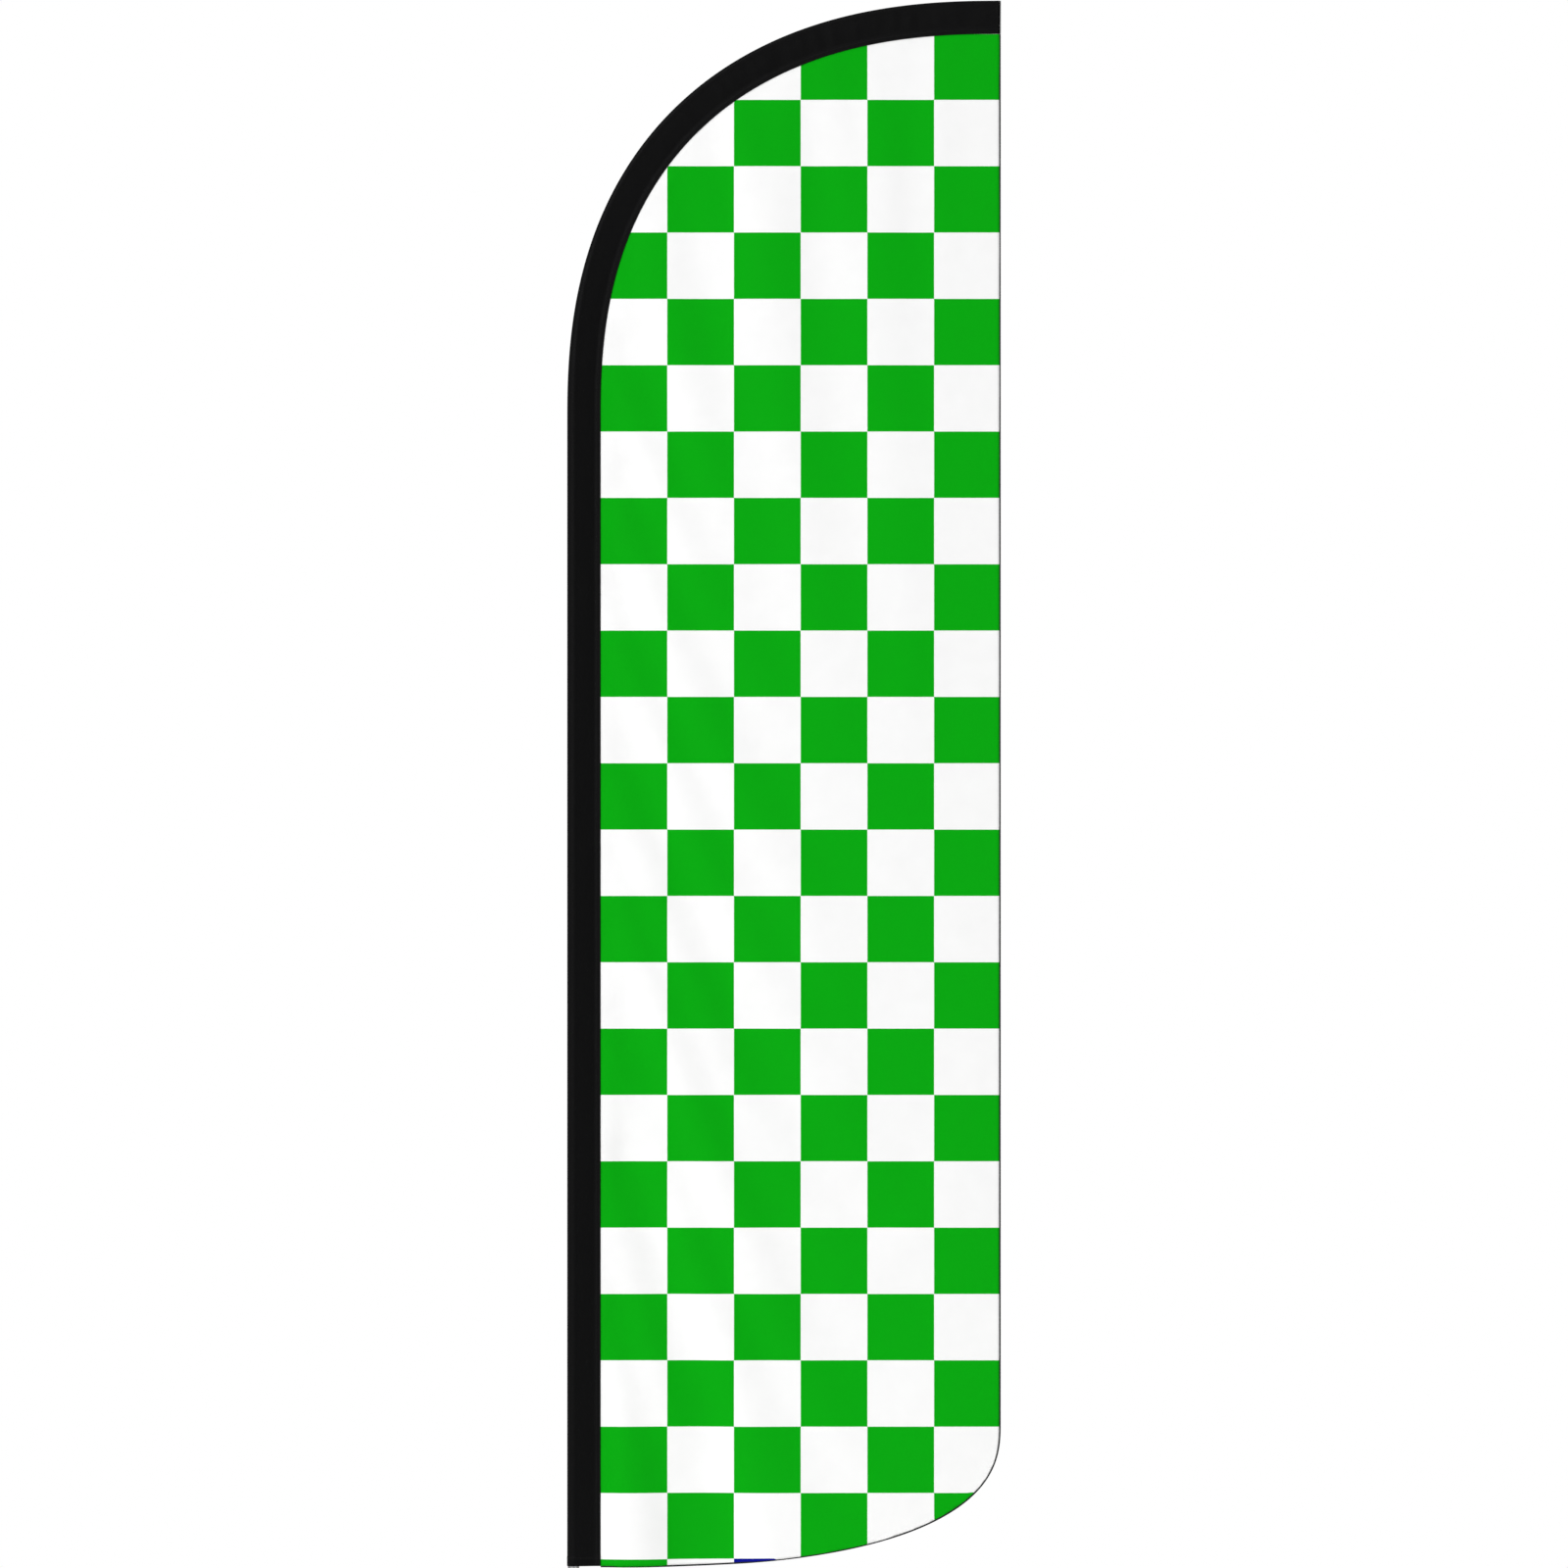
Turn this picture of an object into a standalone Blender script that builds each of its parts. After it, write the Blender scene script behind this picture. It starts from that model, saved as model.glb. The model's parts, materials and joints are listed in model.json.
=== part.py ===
"""Feather flag on a sectional pole that turns on a ground spike.

Metres, +Z up. The origin is on the pole's axis, where the underside of the step plate meets the
ground. +X points from the pole to the flag's trailing edge, and the flag hangs in the XZ plane.
"""

import math

import bmesh
import bpy
import numpy as np
from mathutils import Matrix

# ---------------------------------------------------------------- driving dimensions

# Flag
FLAG_WIDTH = 0.970  # leading edge to trailing edge
FLAG_HEIGHT = 3.505  # panel's lowest point to the top of the crown
CROWN_HEIGHT = 0.933  # the part of the height over which the leading edge curves across
CROWN_EXPONENT = 2.38  # superellipse exponent of the crown
TAIL_HEIGHT = 0.319  # the part of the height over which the bottom edge curves up
TAIL_START = 0.094  # leading edge to the start of the tail's curve
TAIL_EXPONENT = 2.54  # superellipse exponent of the tail
PANEL_DROP = 0.003  # how far the panel reaches below the sleeve's mouth
PANEL_THICKNESS = 0.0006
MOUTH_HEIGHT = 0.535  # ground to the sleeve's mouth

# Pole sleeve
SLEEVE_WIDTH = 0.0746  # leading edge to the seam's edge
SLEEVE_WALL = 0.0008
LIP_WIDTH = 0.012  # the two flat plies that hold the panel's edge
PANEL_TUCK = 0.009  # how far the panel reaches in between those plies
TIP_PATCH_THICKNESS = 0.0015
EDGE_WIDTH = 0.004  # overlocked edge of the panel
EDGE_THICKNESS = 0.0012

# Pole
POLE_RADIUS = 0.0127
POLE_WALL = 0.0012
POLE_SECTIONS = 3
SOCKET_DEPTH = 0.070  # how far each section, and the whip's ferrule, plugs into the one below
STRAIGHT_SPARE = 0.020  # top of the last straight section to the start of the crown
SWAGE_LENGTH = 0.006  # the taper from the tube's full width to its spigot
BUSH_LENGTH = 0.150
BUSH_FLANGE = 0.003

# Whip
WHIP_ROOT_RADIUS = 0.006
WHIP_TIP_RADIUS = 0.002
FERRULE_COLLAR = 0.012
FERRULE_NOSE = 0.020
FERRULE_NOSE_WALL = 0.0016
CAP_WALL = 0.0013
CAP_DEPTH = 0.010
CAP_END = 0.003

# Ground spike, plate and bearing housing
SPIKE_RADIUS = 0.008
SPIKE_DEPTH = 0.400
SPIKE_POINT = 0.045
PLATE_LENGTH = 0.130
PLATE_WIDTH = 0.050
PLATE_THICKNESS = 0.005
PLATE_CORNER = 0.008
HOUSING_WALL = 0.0047
HOUSING_FLOOR = 0.005
EDGE_CHAMFER = 0.0012  # the turned outer edges of the housing and its cap
SPIKE_SOCKET = 0.010
CLIP_POCKET = 0.006  # room under the bearings for the spindle's end and its retaining ring
CAP_PLATE = 0.004
CAP_SPIGOT = 0.002

# Bearings and spindle
BEARING_BORE = 0.0075  # radius
BEARING_RIM = 0.016  # radius
BEARING_WIDTH = 0.009
BEARING_SPACING = 0.008
BALL_RADIUS = 0.00238
BALLS = 7
LAND_SHARE = 0.65  # how far each ring's land stands off the ball track, in ball radii
CAGE_THICKNESS = 0.0016
SEAL_THICKNESS = 0.0007
SEAL_INSET = 0.0003  # the seal's face, in from the bearing's face
SPINDLE_FLANGE_RADIUS = 0.0145
SPINDLE_FLANGE = 0.004
SPINDLE_RADIUS = 0.009
SPINDLE_LENGTH = 0.165  # the stub that carries the pole
SPINDLE_TIP = 0.006  # chamfer of the stub's top
RING_CORD_RADIUS = 0.001  # O-ring
RING_INSET = 0.030  # each O-ring from its end of the stub
CLIP_THICKNESS = 0.0012
CLIP_REACH = 0.003  # how far the retaining ring stands out of the journal
CLIP_GROOVE_DEPTH = 0.0012
CLIP_OPENING = 80  # degrees

# Clearances
SEAT_GAP = 0.0003  # between two pieces that rest on each other or are pressed together
FIT_GAP = 0.0003  # radial, round a piece that plugs in
RUN_GAP = 0.0006  # radial, round a piece that turns or slides
SLEEVE_GAP = 0.0008  # round the pole, inside the sleeve
WHIP_SLACK = 0.0028  # round the whip, inside the sleeve
WHIP_SETTLE = 0.55  # length of whip over which the sleeve narrows from the pole to the whip
FLANGE_GAP = 0.001  # spindle flange to housing cap

# Resolution
POLE_SIDES = 32
BASE_SIDES = 24
CAP_SIDES = 12
CROWN_STEPS = 32
TAIL_STEPS = 24
BULGE_STEPS = 10
CORNER_STEPS = 4
RACE_STEPS = 4
CORD_STEPS = 6
CLIP_STEPS = 18
FINE_STEPS = 4000
MERGE_DISTANCE = 0.00002

# ---------------------------------------------------------------- derived places

LEADING_X = -(POLE_RADIUS + SLEEVE_GAP + SLEEVE_WALL)
TRAILING_X = LEADING_X + FLAG_WIDTH
CROWN_TOP = MOUTH_HEIGHT - PANEL_DROP + FLAG_HEIGHT
CROWN_START = CROWN_TOP - CROWN_HEIGHT
PANEL_BOTTOM = MOUTH_HEIGHT - PANEL_DROP

POLE_BORE = POLE_RADIUS - POLE_WALL
SPIGOT_RADIUS = POLE_BORE - FIT_GAP
BUSH_BORE = SPINDLE_RADIUS + RUN_GAP

HOUSING_BASE = PLATE_THICKNESS + SEAT_GAP
SPIKE_TOP = HOUSING_BASE + SPIKE_SOCKET - SEAT_GAP
HOUSING_RADIUS = BEARING_RIM + FIT_GAP + HOUSING_WALL
POCKET_FLOOR = HOUSING_BASE + SPIKE_SOCKET + HOUSING_FLOOR
BEARING_SHOULDER = POCKET_FLOOR + CLIP_POCKET
LOWER_BEARING = BEARING_SHOULDER + SEAT_GAP
SPACER_BASE = LOWER_BEARING + BEARING_WIDTH + SEAT_GAP
UPPER_BEARING = SPACER_BASE + BEARING_SPACING + SEAT_GAP
HOUSING_TOP = UPPER_BEARING + BEARING_WIDTH + SEAT_GAP + CAP_SPIGOT
CAP_TOP = HOUSING_TOP + SEAT_GAP + CAP_PLATE
FLANGE_BASE = CAP_TOP + FLANGE_GAP
FLANGE_TOP = FLANGE_BASE + SPINDLE_FLANGE
SPINDLE_TOP = FLANGE_TOP + SPINDLE_LENGTH

BUSH_BASE = FLANGE_TOP + SEAT_GAP
POLE_BASE = BUSH_BASE + BUSH_FLANGE + SEAT_GAP
SECTION_PITCH = (CROWN_START - STRAIGHT_SPARE - POLE_BASE) / POLE_SECTIONS
SECTION_SHOWING = SECTION_PITCH - SEAT_GAP
POLE_TOP = POLE_BASE + POLE_SECTIONS * SECTION_PITCH - SEAT_GAP
FERRULE_BASE = POLE_TOP + SEAT_GAP

BALL_TRACK = (BEARING_BORE + BEARING_RIM) / 2
RACE_DEPTH = BALL_RADIUS + FIT_GAP
LAND_OFFSET = BALL_RADIUS * LAND_SHARE
CAGE_HALF_WIDTH = LAND_OFFSET - RUN_GAP
INNER_LAND = BALL_TRACK - LAND_OFFSET
OUTER_LAND = BALL_TRACK + LAND_OFFSET
SPINDLE_NECK_RADIUS = INNER_LAND - FIT_GAP
JOURNAL_RADIUS = BEARING_BORE - FIT_GAP
CLIP_TOP = LOWER_BEARING - FIT_GAP
CLIP_BASE = CLIP_TOP - CLIP_THICKNESS
CLIP_GROOVE_RADIUS = JOURNAL_RADIUS - CLIP_GROOVE_DEPTH

PANEL_HALF = PANEL_THICKNESS / 2
LIP_HALF = PANEL_HALF + SEAT_GAP

# ---------------------------------------------------------------- scene


def clear_scene():
    for obj in list(bpy.data.objects):
        bpy.data.objects.remove(obj, do_unlink=True)


def new_collection(name):
    collection = bpy.data.collections.new(name)
    bpy.context.scene.collection.children.link(collection)
    return collection


def material(name, colour, roughness, metallic=0.0):
    made = bpy.data.materials.new(name)
    made.use_nodes = True
    shader = made.node_tree.nodes["Principled BSDF"]
    shader.inputs["Base Color"].default_value = (*colour, 1.0)
    shader.inputs["Roughness"].default_value = roughness
    shader.inputs["Metallic"].default_value = metallic
    return made


clear_scene()
PARTS = new_collection("feather_flag")
CUTTERS = new_collection("cutters")

SLEEVE_FABRIC = material("sleeve_fabric", (0.006, 0.006, 0.007), 0.8)
FLAG_FABRIC = material("flag_fabric", (0.9, 0.9, 0.9), 0.7)
THREAD = material("edge_thread", (0.02, 0.02, 0.022), 0.8)
ANODISED = material("anodised_aluminium", (0.72, 0.73, 0.74), 0.35, 1.0)
ZINC = material("zinc_plated_steel", (0.6, 0.61, 0.62), 0.4, 1.0)
BEARING_STEEL = material("bearing_steel", (0.65, 0.65, 0.66), 0.2, 1.0)
BLACK_NYLON = material("black_nylon", (0.02, 0.02, 0.022), 0.5)
BLACK_RUBBER = material("black_rubber", (0.012, 0.012, 0.013), 0.75)
FIBREGLASS = material("fibreglass", (0.82, 0.83, 0.8), 0.35)


def body(name, height):
    """An empty on the pole's axis, which carries the pieces that move together."""
    empty = bpy.data.objects.new(name, None)
    empty.empty_display_size = 0.03
    empty.location.z = height
    PARTS.objects.link(empty)
    return empty


GROUND_STAKE = body("ground_stake", 0.0)
BALL_CAGES = body("ball_cages", SPACER_BASE)
SPINDLE_BODY = body("turning_spindle", FLANGE_TOP)
POLE_BODIES = [
    body(f"pole_body_{number + 1}", POLE_BASE + number * SECTION_PITCH) for number in range(POLE_SECTIONS)
]
FLAG_BODY = body("flag_and_whip", FERRULE_BASE)


def add(obj, surface, carrier, height=0.0):
    """Gives an object its material and puts it on its body, with its own zero at a height."""
    obj.data.materials.append(surface)
    obj.parent = carrier
    obj.location.z = height - carrier.location.z
    PARTS.objects.link(obj)
    return obj


# ---------------------------------------------------------------- shapes


def turned(name, profile, sides, closed=False):
    """A piece turned about +Z. Its profile of (radius, height) runs down the outer side."""
    count = len(profile)
    edges = [(i, i + 1) for i in range(count - 1)]
    if closed:
        edges.append((count - 1, 0))
    mesh = bpy.data.meshes.new(name)
    mesh.from_pydata([(radius, 0, height) for radius, height in profile], edges, [])
    obj = bpy.data.objects.new(name, mesh)
    screw = obj.modifiers.new("Screw", "SCREW")
    screw.steps = sides
    screw.render_steps = sides
    screw.use_merge_vertices = True
    screw.merge_threshold = MERGE_DISTANCE
    screw.use_smooth_shade = True
    return obj


def ring(name, inner, outer, thickness, sides):
    """A plain turned ring that stands on its own zero."""
    profile = [(outer, thickness), (outer, 0), (inner, 0), (inner, thickness)]
    return turned(name, profile, sides, closed=True)


def flat_shape(name, outline, thickness):
    """A flat piece in the XZ plane, from its outline of (x, z), centred on y = 0."""
    curve = bpy.data.curves.new(name, "CURVE")
    curve.dimensions = "2D"
    curve.fill_mode = "BOTH"
    curve.extrude = thickness / 2
    spline = curve.splines.new("POLY")
    spline.points.add(len(outline) - 1)
    for point, (x, z) in zip(spline.points, outline):
        point.co = (x, z, 0, 1)
    spline.use_cyclic_u = True
    obj = bpy.data.objects.new(name, curve)
    obj.rotation_euler.x = math.pi / 2
    return obj


def arc(centre, radius, start, end, steps):
    """Points of a circular arc, with angles in radians."""
    angles = [start + (end - start) * i / steps for i in range(steps + 1)]
    return [(centre[0] + radius * math.cos(a), centre[1] + radius * math.sin(a)) for a in angles]


# ---------------------------------------------------------------- the flag's outline


def crown_curve():
    """The crown's outer edge as fine points, with the distance along it to each."""
    angles = np.linspace(0, math.pi / 2, FINE_STEPS)
    power = 2 / CROWN_EXPONENT
    across = np.clip(np.cos(angles), 0, None) ** power
    up = np.sin(angles) ** power
    points = np.column_stack([TRAILING_X - FLAG_WIDTH * across, CROWN_START + CROWN_HEIGHT * up])
    steps = np.linalg.norm(np.diff(points, axis=0), axis=1)
    return points, np.concatenate([[0], np.cumsum(steps)])


CROWN_POINTS, CROWN_DISTANCES = crown_curve()
CROWN_LENGTH = float(CROWN_DISTANCES[-1])


def on_crown(distance):
    """The point of the crown's outer edge at a distance from its start."""
    x = np.interp(distance, CROWN_DISTANCES, CROWN_POINTS[:, 0])
    z = np.interp(distance, CROWN_DISTANCES, CROWN_POINTS[:, 1])
    return np.array([x, z])


def inward(distance):
    """The unit normal of the crown's outer edge that points into the flag."""
    if distance <= 0:
        return np.array([1.0, 0.0])
    reach = CROWN_LENGTH / 400
    tangent = on_crown(min(distance + reach, CROWN_LENGTH)) - on_crown(max(distance - reach, 0))
    tangent = tangent / np.linalg.norm(tangent)
    return np.array([tangent[1], -tangent[0]])


def crown_stations(end):
    """Even distances along the crown, up to this distance."""
    return [end * i / CROWN_STEPS for i in range(CROWN_STEPS + 1)]


def offset_edge(inset, bottom, end):
    """The leading edge and crown, moved into the flag, from a height up to a crown distance."""
    points = [(LEADING_X + inset, bottom)]
    for distance in crown_stations(end):
        x, z = on_crown(distance) + inset * inward(distance)
        points.append((x, z))
    return points


def free_edge(inset):
    """The trailing edge, tail and bottom edge, moved into the flag, from the crown to the seam."""
    width = FLAG_WIDTH - TAIL_START
    power = 2 / TAIL_EXPONENT
    angles = np.linspace(0, math.pi / 2, TAIL_STEPS + 1)
    across = np.clip(np.cos(angles), 0, None) ** power
    down = np.sin(angles) ** power
    curve = np.column_stack(
        [TRAILING_X - width + width * across, PANEL_BOTTOM + TAIL_HEIGHT - TAIL_HEIGHT * down]
    )
    top = [TRAILING_X, CROWN_TOP - SLEEVE_WIDTH - SEAT_GAP]
    seam = [LEADING_X + SLEEVE_WIDTH + SEAT_GAP, PANEL_BOTTOM]
    points = np.vstack([top, curve, seam])
    tangents = np.gradient(points, axis=0)
    tangents[0] = (0, -1)
    tangents[1] = (0, -1)
    tangents[-2:] = (-1, 0)
    tangents /= np.linalg.norm(tangents, axis=1)[:, None]
    normals = np.column_stack([tangents[:, 1], -tangents[:, 0]])
    return [tuple(point) for point in points + inset * normals]


# ---------------------------------------------------------------- ground spike


def spike_rod():
    profile = [
        (0, SPIKE_TOP),
        (SPIKE_RADIUS - 0.001, SPIKE_TOP),
        (SPIKE_RADIUS, SPIKE_TOP - 0.001),
        (SPIKE_RADIUS, SPIKE_POINT - SPIKE_DEPTH),
        (0, -SPIKE_DEPTH),
    ]
    add(turned("spike_rod", profile, BASE_SIDES), ZINC, GROUND_STAKE)


def step_plate():
    """A flat plate with round corners, which the spike passes through."""
    half_length = PLATE_LENGTH / 2 - PLATE_CORNER
    half_width = PLATE_WIDTH / 2 - PLATE_CORNER
    outline = []
    for turn, (side_x, side_y) in enumerate([(1, 1), (-1, 1), (-1, -1), (1, -1)]):
        centre = (side_x * half_length, side_y * half_width)
        start = turn * math.pi / 2
        outline += arc(centre, PLATE_CORNER, start, start + math.pi / 2, CORNER_STEPS)
    plate = flat_shape("step_plate", outline, PLATE_THICKNESS)
    hole = plate.data.splines.new("POLY")
    hole.points.add(BASE_SIDES - 1)
    rim = arc((0, 0), SPIKE_RADIUS + FIT_GAP, 0, -2 * math.pi, BASE_SIDES)
    for point, (x, y) in zip(hole.points, rim):
        point.co = (x, y, 0, 1)
    hole.use_cyclic_u = True
    plate.rotation_euler.x = 0
    add(plate, ZINC, GROUND_STAKE, PLATE_THICKNESS / 2)


def bearing_housing():
    """A cup that is closed below but for the spike's blind hole, and open above."""
    bore = BEARING_RIM + FIT_GAP
    pocket = JOURNAL_RADIUS + CLIP_REACH + 2 * RUN_GAP
    spike_hole = SPIKE_RADIUS + FIT_GAP
    profile = [
        (0, POCKET_FLOOR),
        (pocket, POCKET_FLOOR),
        (pocket, BEARING_SHOULDER),
        (bore, BEARING_SHOULDER),
        (bore, HOUSING_TOP),
        (HOUSING_RADIUS - EDGE_CHAMFER, HOUSING_TOP),
        (HOUSING_RADIUS, HOUSING_TOP - EDGE_CHAMFER),
        (HOUSING_RADIUS, HOUSING_BASE + EDGE_CHAMFER),
        (HOUSING_RADIUS - EDGE_CHAMFER, HOUSING_BASE),
        (spike_hole, HOUSING_BASE),
        (spike_hole, HOUSING_BASE + SPIKE_SOCKET),
        (0, HOUSING_BASE + SPIKE_SOCKET),
    ]
    add(turned("bearing_housing", profile, BASE_SIDES), ZINC, GROUND_STAKE)


def housing_cap():
    """The ring that closes the housing and holds the upper bearing's outer ring down."""
    hole = SPINDLE_NECK_RADIUS + RUN_GAP
    spigot = BEARING_RIM
    spigot_hole = OUTER_LAND
    profile = [
        (HOUSING_RADIUS - EDGE_CHAMFER, CAP_TOP),
        (HOUSING_RADIUS, CAP_TOP - EDGE_CHAMFER),
        (HOUSING_RADIUS, HOUSING_TOP + SEAT_GAP),
        (spigot, HOUSING_TOP + SEAT_GAP),
        (spigot, HOUSING_TOP - CAP_SPIGOT + SEAT_GAP),
        (spigot_hole, HOUSING_TOP - CAP_SPIGOT + SEAT_GAP),
        (spigot_hole, HOUSING_TOP + SEAT_GAP),
        (hole, HOUSING_TOP + SEAT_GAP),
        (hole, CAP_TOP),
    ]
    add(turned("housing_cap", profile, BASE_SIDES, closed=True), ZINC, GROUND_STAKE)


# ---------------------------------------------------------------- bearings and spindle


def race(side, land):
    """The ball groove in a ring's land, from bottom to top: side is -1 inside the balls, 1 outside."""
    middle = BEARING_WIDTH / 2
    half_angle = math.acos((land - BALL_TRACK) * side / RACE_DEPTH)
    towards = 0 if side > 0 else math.pi
    turn = -half_angle if side > 0 else half_angle
    return arc((BALL_TRACK, middle), RACE_DEPTH, towards + turn, towards - turn, RACE_STEPS)


def bearing_rings(name, height):
    """One ball bearing's outer ring, which stays, and inner ring, which turns."""
    outer_profile = [(BEARING_RIM, BEARING_WIDTH), (BEARING_RIM, 0), (OUTER_LAND, 0)]
    outer_profile += race(1, OUTER_LAND)
    outer_profile += [(OUTER_LAND, BEARING_WIDTH)]
    outer = turned(f"{name}_outer_ring", outer_profile, BASE_SIDES, closed=True)
    add(outer, BEARING_STEEL, GROUND_STAKE, height)

    inner_profile = [(INNER_LAND, BEARING_WIDTH)]
    inner_profile += reversed(race(-1, INNER_LAND))
    inner_profile += [(INNER_LAND, 0), (BEARING_BORE, 0), (BEARING_BORE, BEARING_WIDTH)]
    inner = turned(f"{name}_inner_ring", inner_profile, BASE_SIDES, closed=True)
    add(inner, BEARING_STEEL, SPINDLE_BODY, height)


def bearing_seals(name, height):
    """The two thin seals that close one bearing, held in its outer ring."""
    for place, base in (
        ("bottom", SEAL_INSET),
        ("top", BEARING_WIDTH - SEAL_INSET - SEAL_THICKNESS),
    ):
        inner = INNER_LAND + RUN_GAP
        outer = OUTER_LAND - FIT_GAP
        seal = ring(f"{name}_{place}_seal", inner, outer, SEAL_THICKNESS, BASE_SIDES)
        add(seal, BLACK_RUBBER, GROUND_STAKE, height + base)


def ball_set(name):
    """The balls of one bearing, as a helper that its cage is joined with."""
    work = bmesh.new()
    for number in range(BALLS):
        turn = Matrix.Rotation(2 * math.pi * number / BALLS, 4, "Z")
        place = turn @ Matrix.Translation((BALL_TRACK, 0, 0))
        bmesh.ops.create_uvsphere(work, u_segments=10, v_segments=6, radius=BALL_RADIUS, matrix=place)
    mesh = bpy.data.meshes.new(name)
    work.to_mesh(mesh)
    work.free()
    balls = bpy.data.objects.new(name, mesh)
    balls.hide_render = True
    balls.display_type = "WIRE"
    CUTTERS.objects.link(balls)
    return balls


def ball_cage(name, height):
    """A ring cage with its captive balls."""
    inner = BALL_TRACK - CAGE_HALF_WIDTH
    outer = BALL_TRACK + CAGE_HALF_WIDTH
    half = CAGE_THICKNESS / 2
    profile = [(outer, half), (outer, -half), (inner, -half), (inner, half)]
    cage = turned(name, profile, BASE_SIDES, closed=True)
    add(cage, BEARING_STEEL, BALL_CAGES, height + BEARING_WIDTH / 2)
    balls = ball_set(f"{name}_balls")
    balls.parent = cage
    union = cage.modifiers.new("Balls", "BOOLEAN")
    union.operation = "UNION"
    union.object = balls


def bearing_spacers():
    outer = ring("outer_spacer", OUTER_LAND, BEARING_RIM, BEARING_SPACING, BASE_SIDES)
    add(outer, ZINC, GROUND_STAKE, SPACER_BASE)
    inner = ring("inner_spacer", BEARING_BORE, INNER_LAND, BEARING_SPACING, BASE_SIDES)
    add(inner, ZINC, SPINDLE_BODY, SPACER_BASE)


def ring_heights():
    """The middle heights of the two O-rings on the stub."""
    return [FLANGE_TOP + RING_INSET, SPINDLE_TOP - RING_INSET]


def o_ring_groove(middle):
    """The square groove that holds an O-ring, from top to bottom."""
    depth = SPINDLE_RADIUS - 2 * RING_CORD_RADIUS
    half = RING_CORD_RADIUS + SEAT_GAP
    return [
        (SPINDLE_RADIUS, middle + half),
        (depth, middle + half),
        (depth, middle - half),
        (SPINDLE_RADIUS, middle - half),
    ]


def spindle():
    """The turned shaft: a stub for the pole, a flange that the pole rests on, and a journal."""
    lower, upper = ring_heights()
    groove_top = CLIP_TOP + FIT_GAP
    groove_base = CLIP_BASE - FIT_GAP
    shaft_end = POCKET_FLOOR + FLANGE_GAP
    profile = [(0, SPINDLE_TOP), (SPINDLE_RADIUS - SPINDLE_TIP / 2, SPINDLE_TOP)]
    profile += [(SPINDLE_RADIUS, SPINDLE_TOP - SPINDLE_TIP)]
    profile += o_ring_groove(upper)
    profile += o_ring_groove(lower)
    profile += [
        (SPINDLE_RADIUS, FLANGE_TOP),
        (SPINDLE_FLANGE_RADIUS, FLANGE_TOP),
        (SPINDLE_FLANGE_RADIUS, FLANGE_BASE),
        (SPINDLE_NECK_RADIUS, FLANGE_BASE),
        (SPINDLE_NECK_RADIUS, UPPER_BEARING + BEARING_WIDTH + SEAT_GAP),
        (JOURNAL_RADIUS, UPPER_BEARING + BEARING_WIDTH + SEAT_GAP),
        (JOURNAL_RADIUS, groove_top),
        (CLIP_GROOVE_RADIUS, groove_top),
        (CLIP_GROOVE_RADIUS, groove_base),
        (JOURNAL_RADIUS, groove_base),
        (JOURNAL_RADIUS, shaft_end),
        (0, shaft_end),
    ]
    add(turned("spindle", profile, BASE_SIDES), ZINC, SPINDLE_BODY)


def retaining_ring():
    """The open spring clip in the journal's groove."""
    inner = CLIP_GROOVE_RADIUS + FIT_GAP
    outer = JOURNAL_RADIUS + CLIP_REACH
    half_opening = math.radians(CLIP_OPENING) / 2
    outline = arc((0, 0), outer, half_opening, 2 * math.pi - half_opening, CLIP_STEPS)
    outline += arc((0, 0), inner, 2 * math.pi - half_opening, half_opening, CLIP_STEPS)
    clip = flat_shape("retaining_ring", outline, CLIP_THICKNESS)
    clip.rotation_euler.x = 0
    add(clip, BEARING_STEEL, SPINDLE_BODY, CLIP_BASE + CLIP_THICKNESS / 2)


def o_rings():
    centre = SPINDLE_RADIUS - RING_CORD_RADIUS + FIT_GAP
    for name, middle in zip(("lower_o_ring", "upper_o_ring"), ring_heights()):
        loop = arc((centre, 0), RING_CORD_RADIUS, math.pi / 2, -3 * math.pi / 2, CORD_STEPS)
        add(turned(name, loop[:-1], BASE_SIDES, closed=True), BLACK_RUBBER, SPINDLE_BODY, middle)


# ---------------------------------------------------------------- pole


def bottom_bush():
    """The nylon liner in the lowest tube, which slides down over the spindle."""
    profile = [
        (SPIGOT_RADIUS, BUSH_FLANGE + BUSH_LENGTH),
        (SPIGOT_RADIUS, BUSH_FLANGE),
        (POLE_RADIUS, BUSH_FLANGE),
        (POLE_RADIUS, 0),
        (BUSH_BORE, 0),
        (BUSH_BORE, BUSH_FLANGE + BUSH_LENGTH),
    ]
    bush = turned("bottom_bush", profile, POLE_SIDES, closed=True)
    add(bush, BLACK_NYLON, POLE_BODIES[0], BUSH_BASE)


def pole_section(number):
    """One aluminium tube. All but the lowest have a swaged spigot that plugs into the one below."""
    top = SECTION_SHOWING
    if number == 0:
        profile = [(POLE_RADIUS, top), (POLE_RADIUS, 0), (POLE_BORE, 0), (POLE_BORE, top)]
    else:
        profile = [
            (POLE_RADIUS, top),
            (POLE_RADIUS, 0),
            (SPIGOT_RADIUS, 0),
            (SPIGOT_RADIUS, -SOCKET_DEPTH),
            (SPIGOT_RADIUS - POLE_WALL, -SOCKET_DEPTH),
            (SPIGOT_RADIUS - POLE_WALL, 0),
            (POLE_BORE, SWAGE_LENGTH),
            (POLE_BORE, top),
        ]
    tube = turned(f"pole_section_{number + 1}", profile, POLE_SIDES, closed=True)
    add(tube, ANODISED, POLE_BODIES[number], POLE_BASE + number * SECTION_PITCH)


# ---------------------------------------------------------------- whip

WHIP_BASE = FERRULE_BASE - SOCKET_DEPTH
WHIP_END = CROWN_LENGTH - TIP_PATCH_THICKNESS - SEAT_GAP - CAP_END - 2 * SEAT_GAP


def whip_radius(distance):
    """The whip's radius at a distance along the crown: it tapers from the crown's start."""
    share = min(max(distance / WHIP_END, 0), 1)
    return WHIP_ROOT_RADIUS + (WHIP_TIP_RADIUS - WHIP_ROOT_RADIUS) * share


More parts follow.
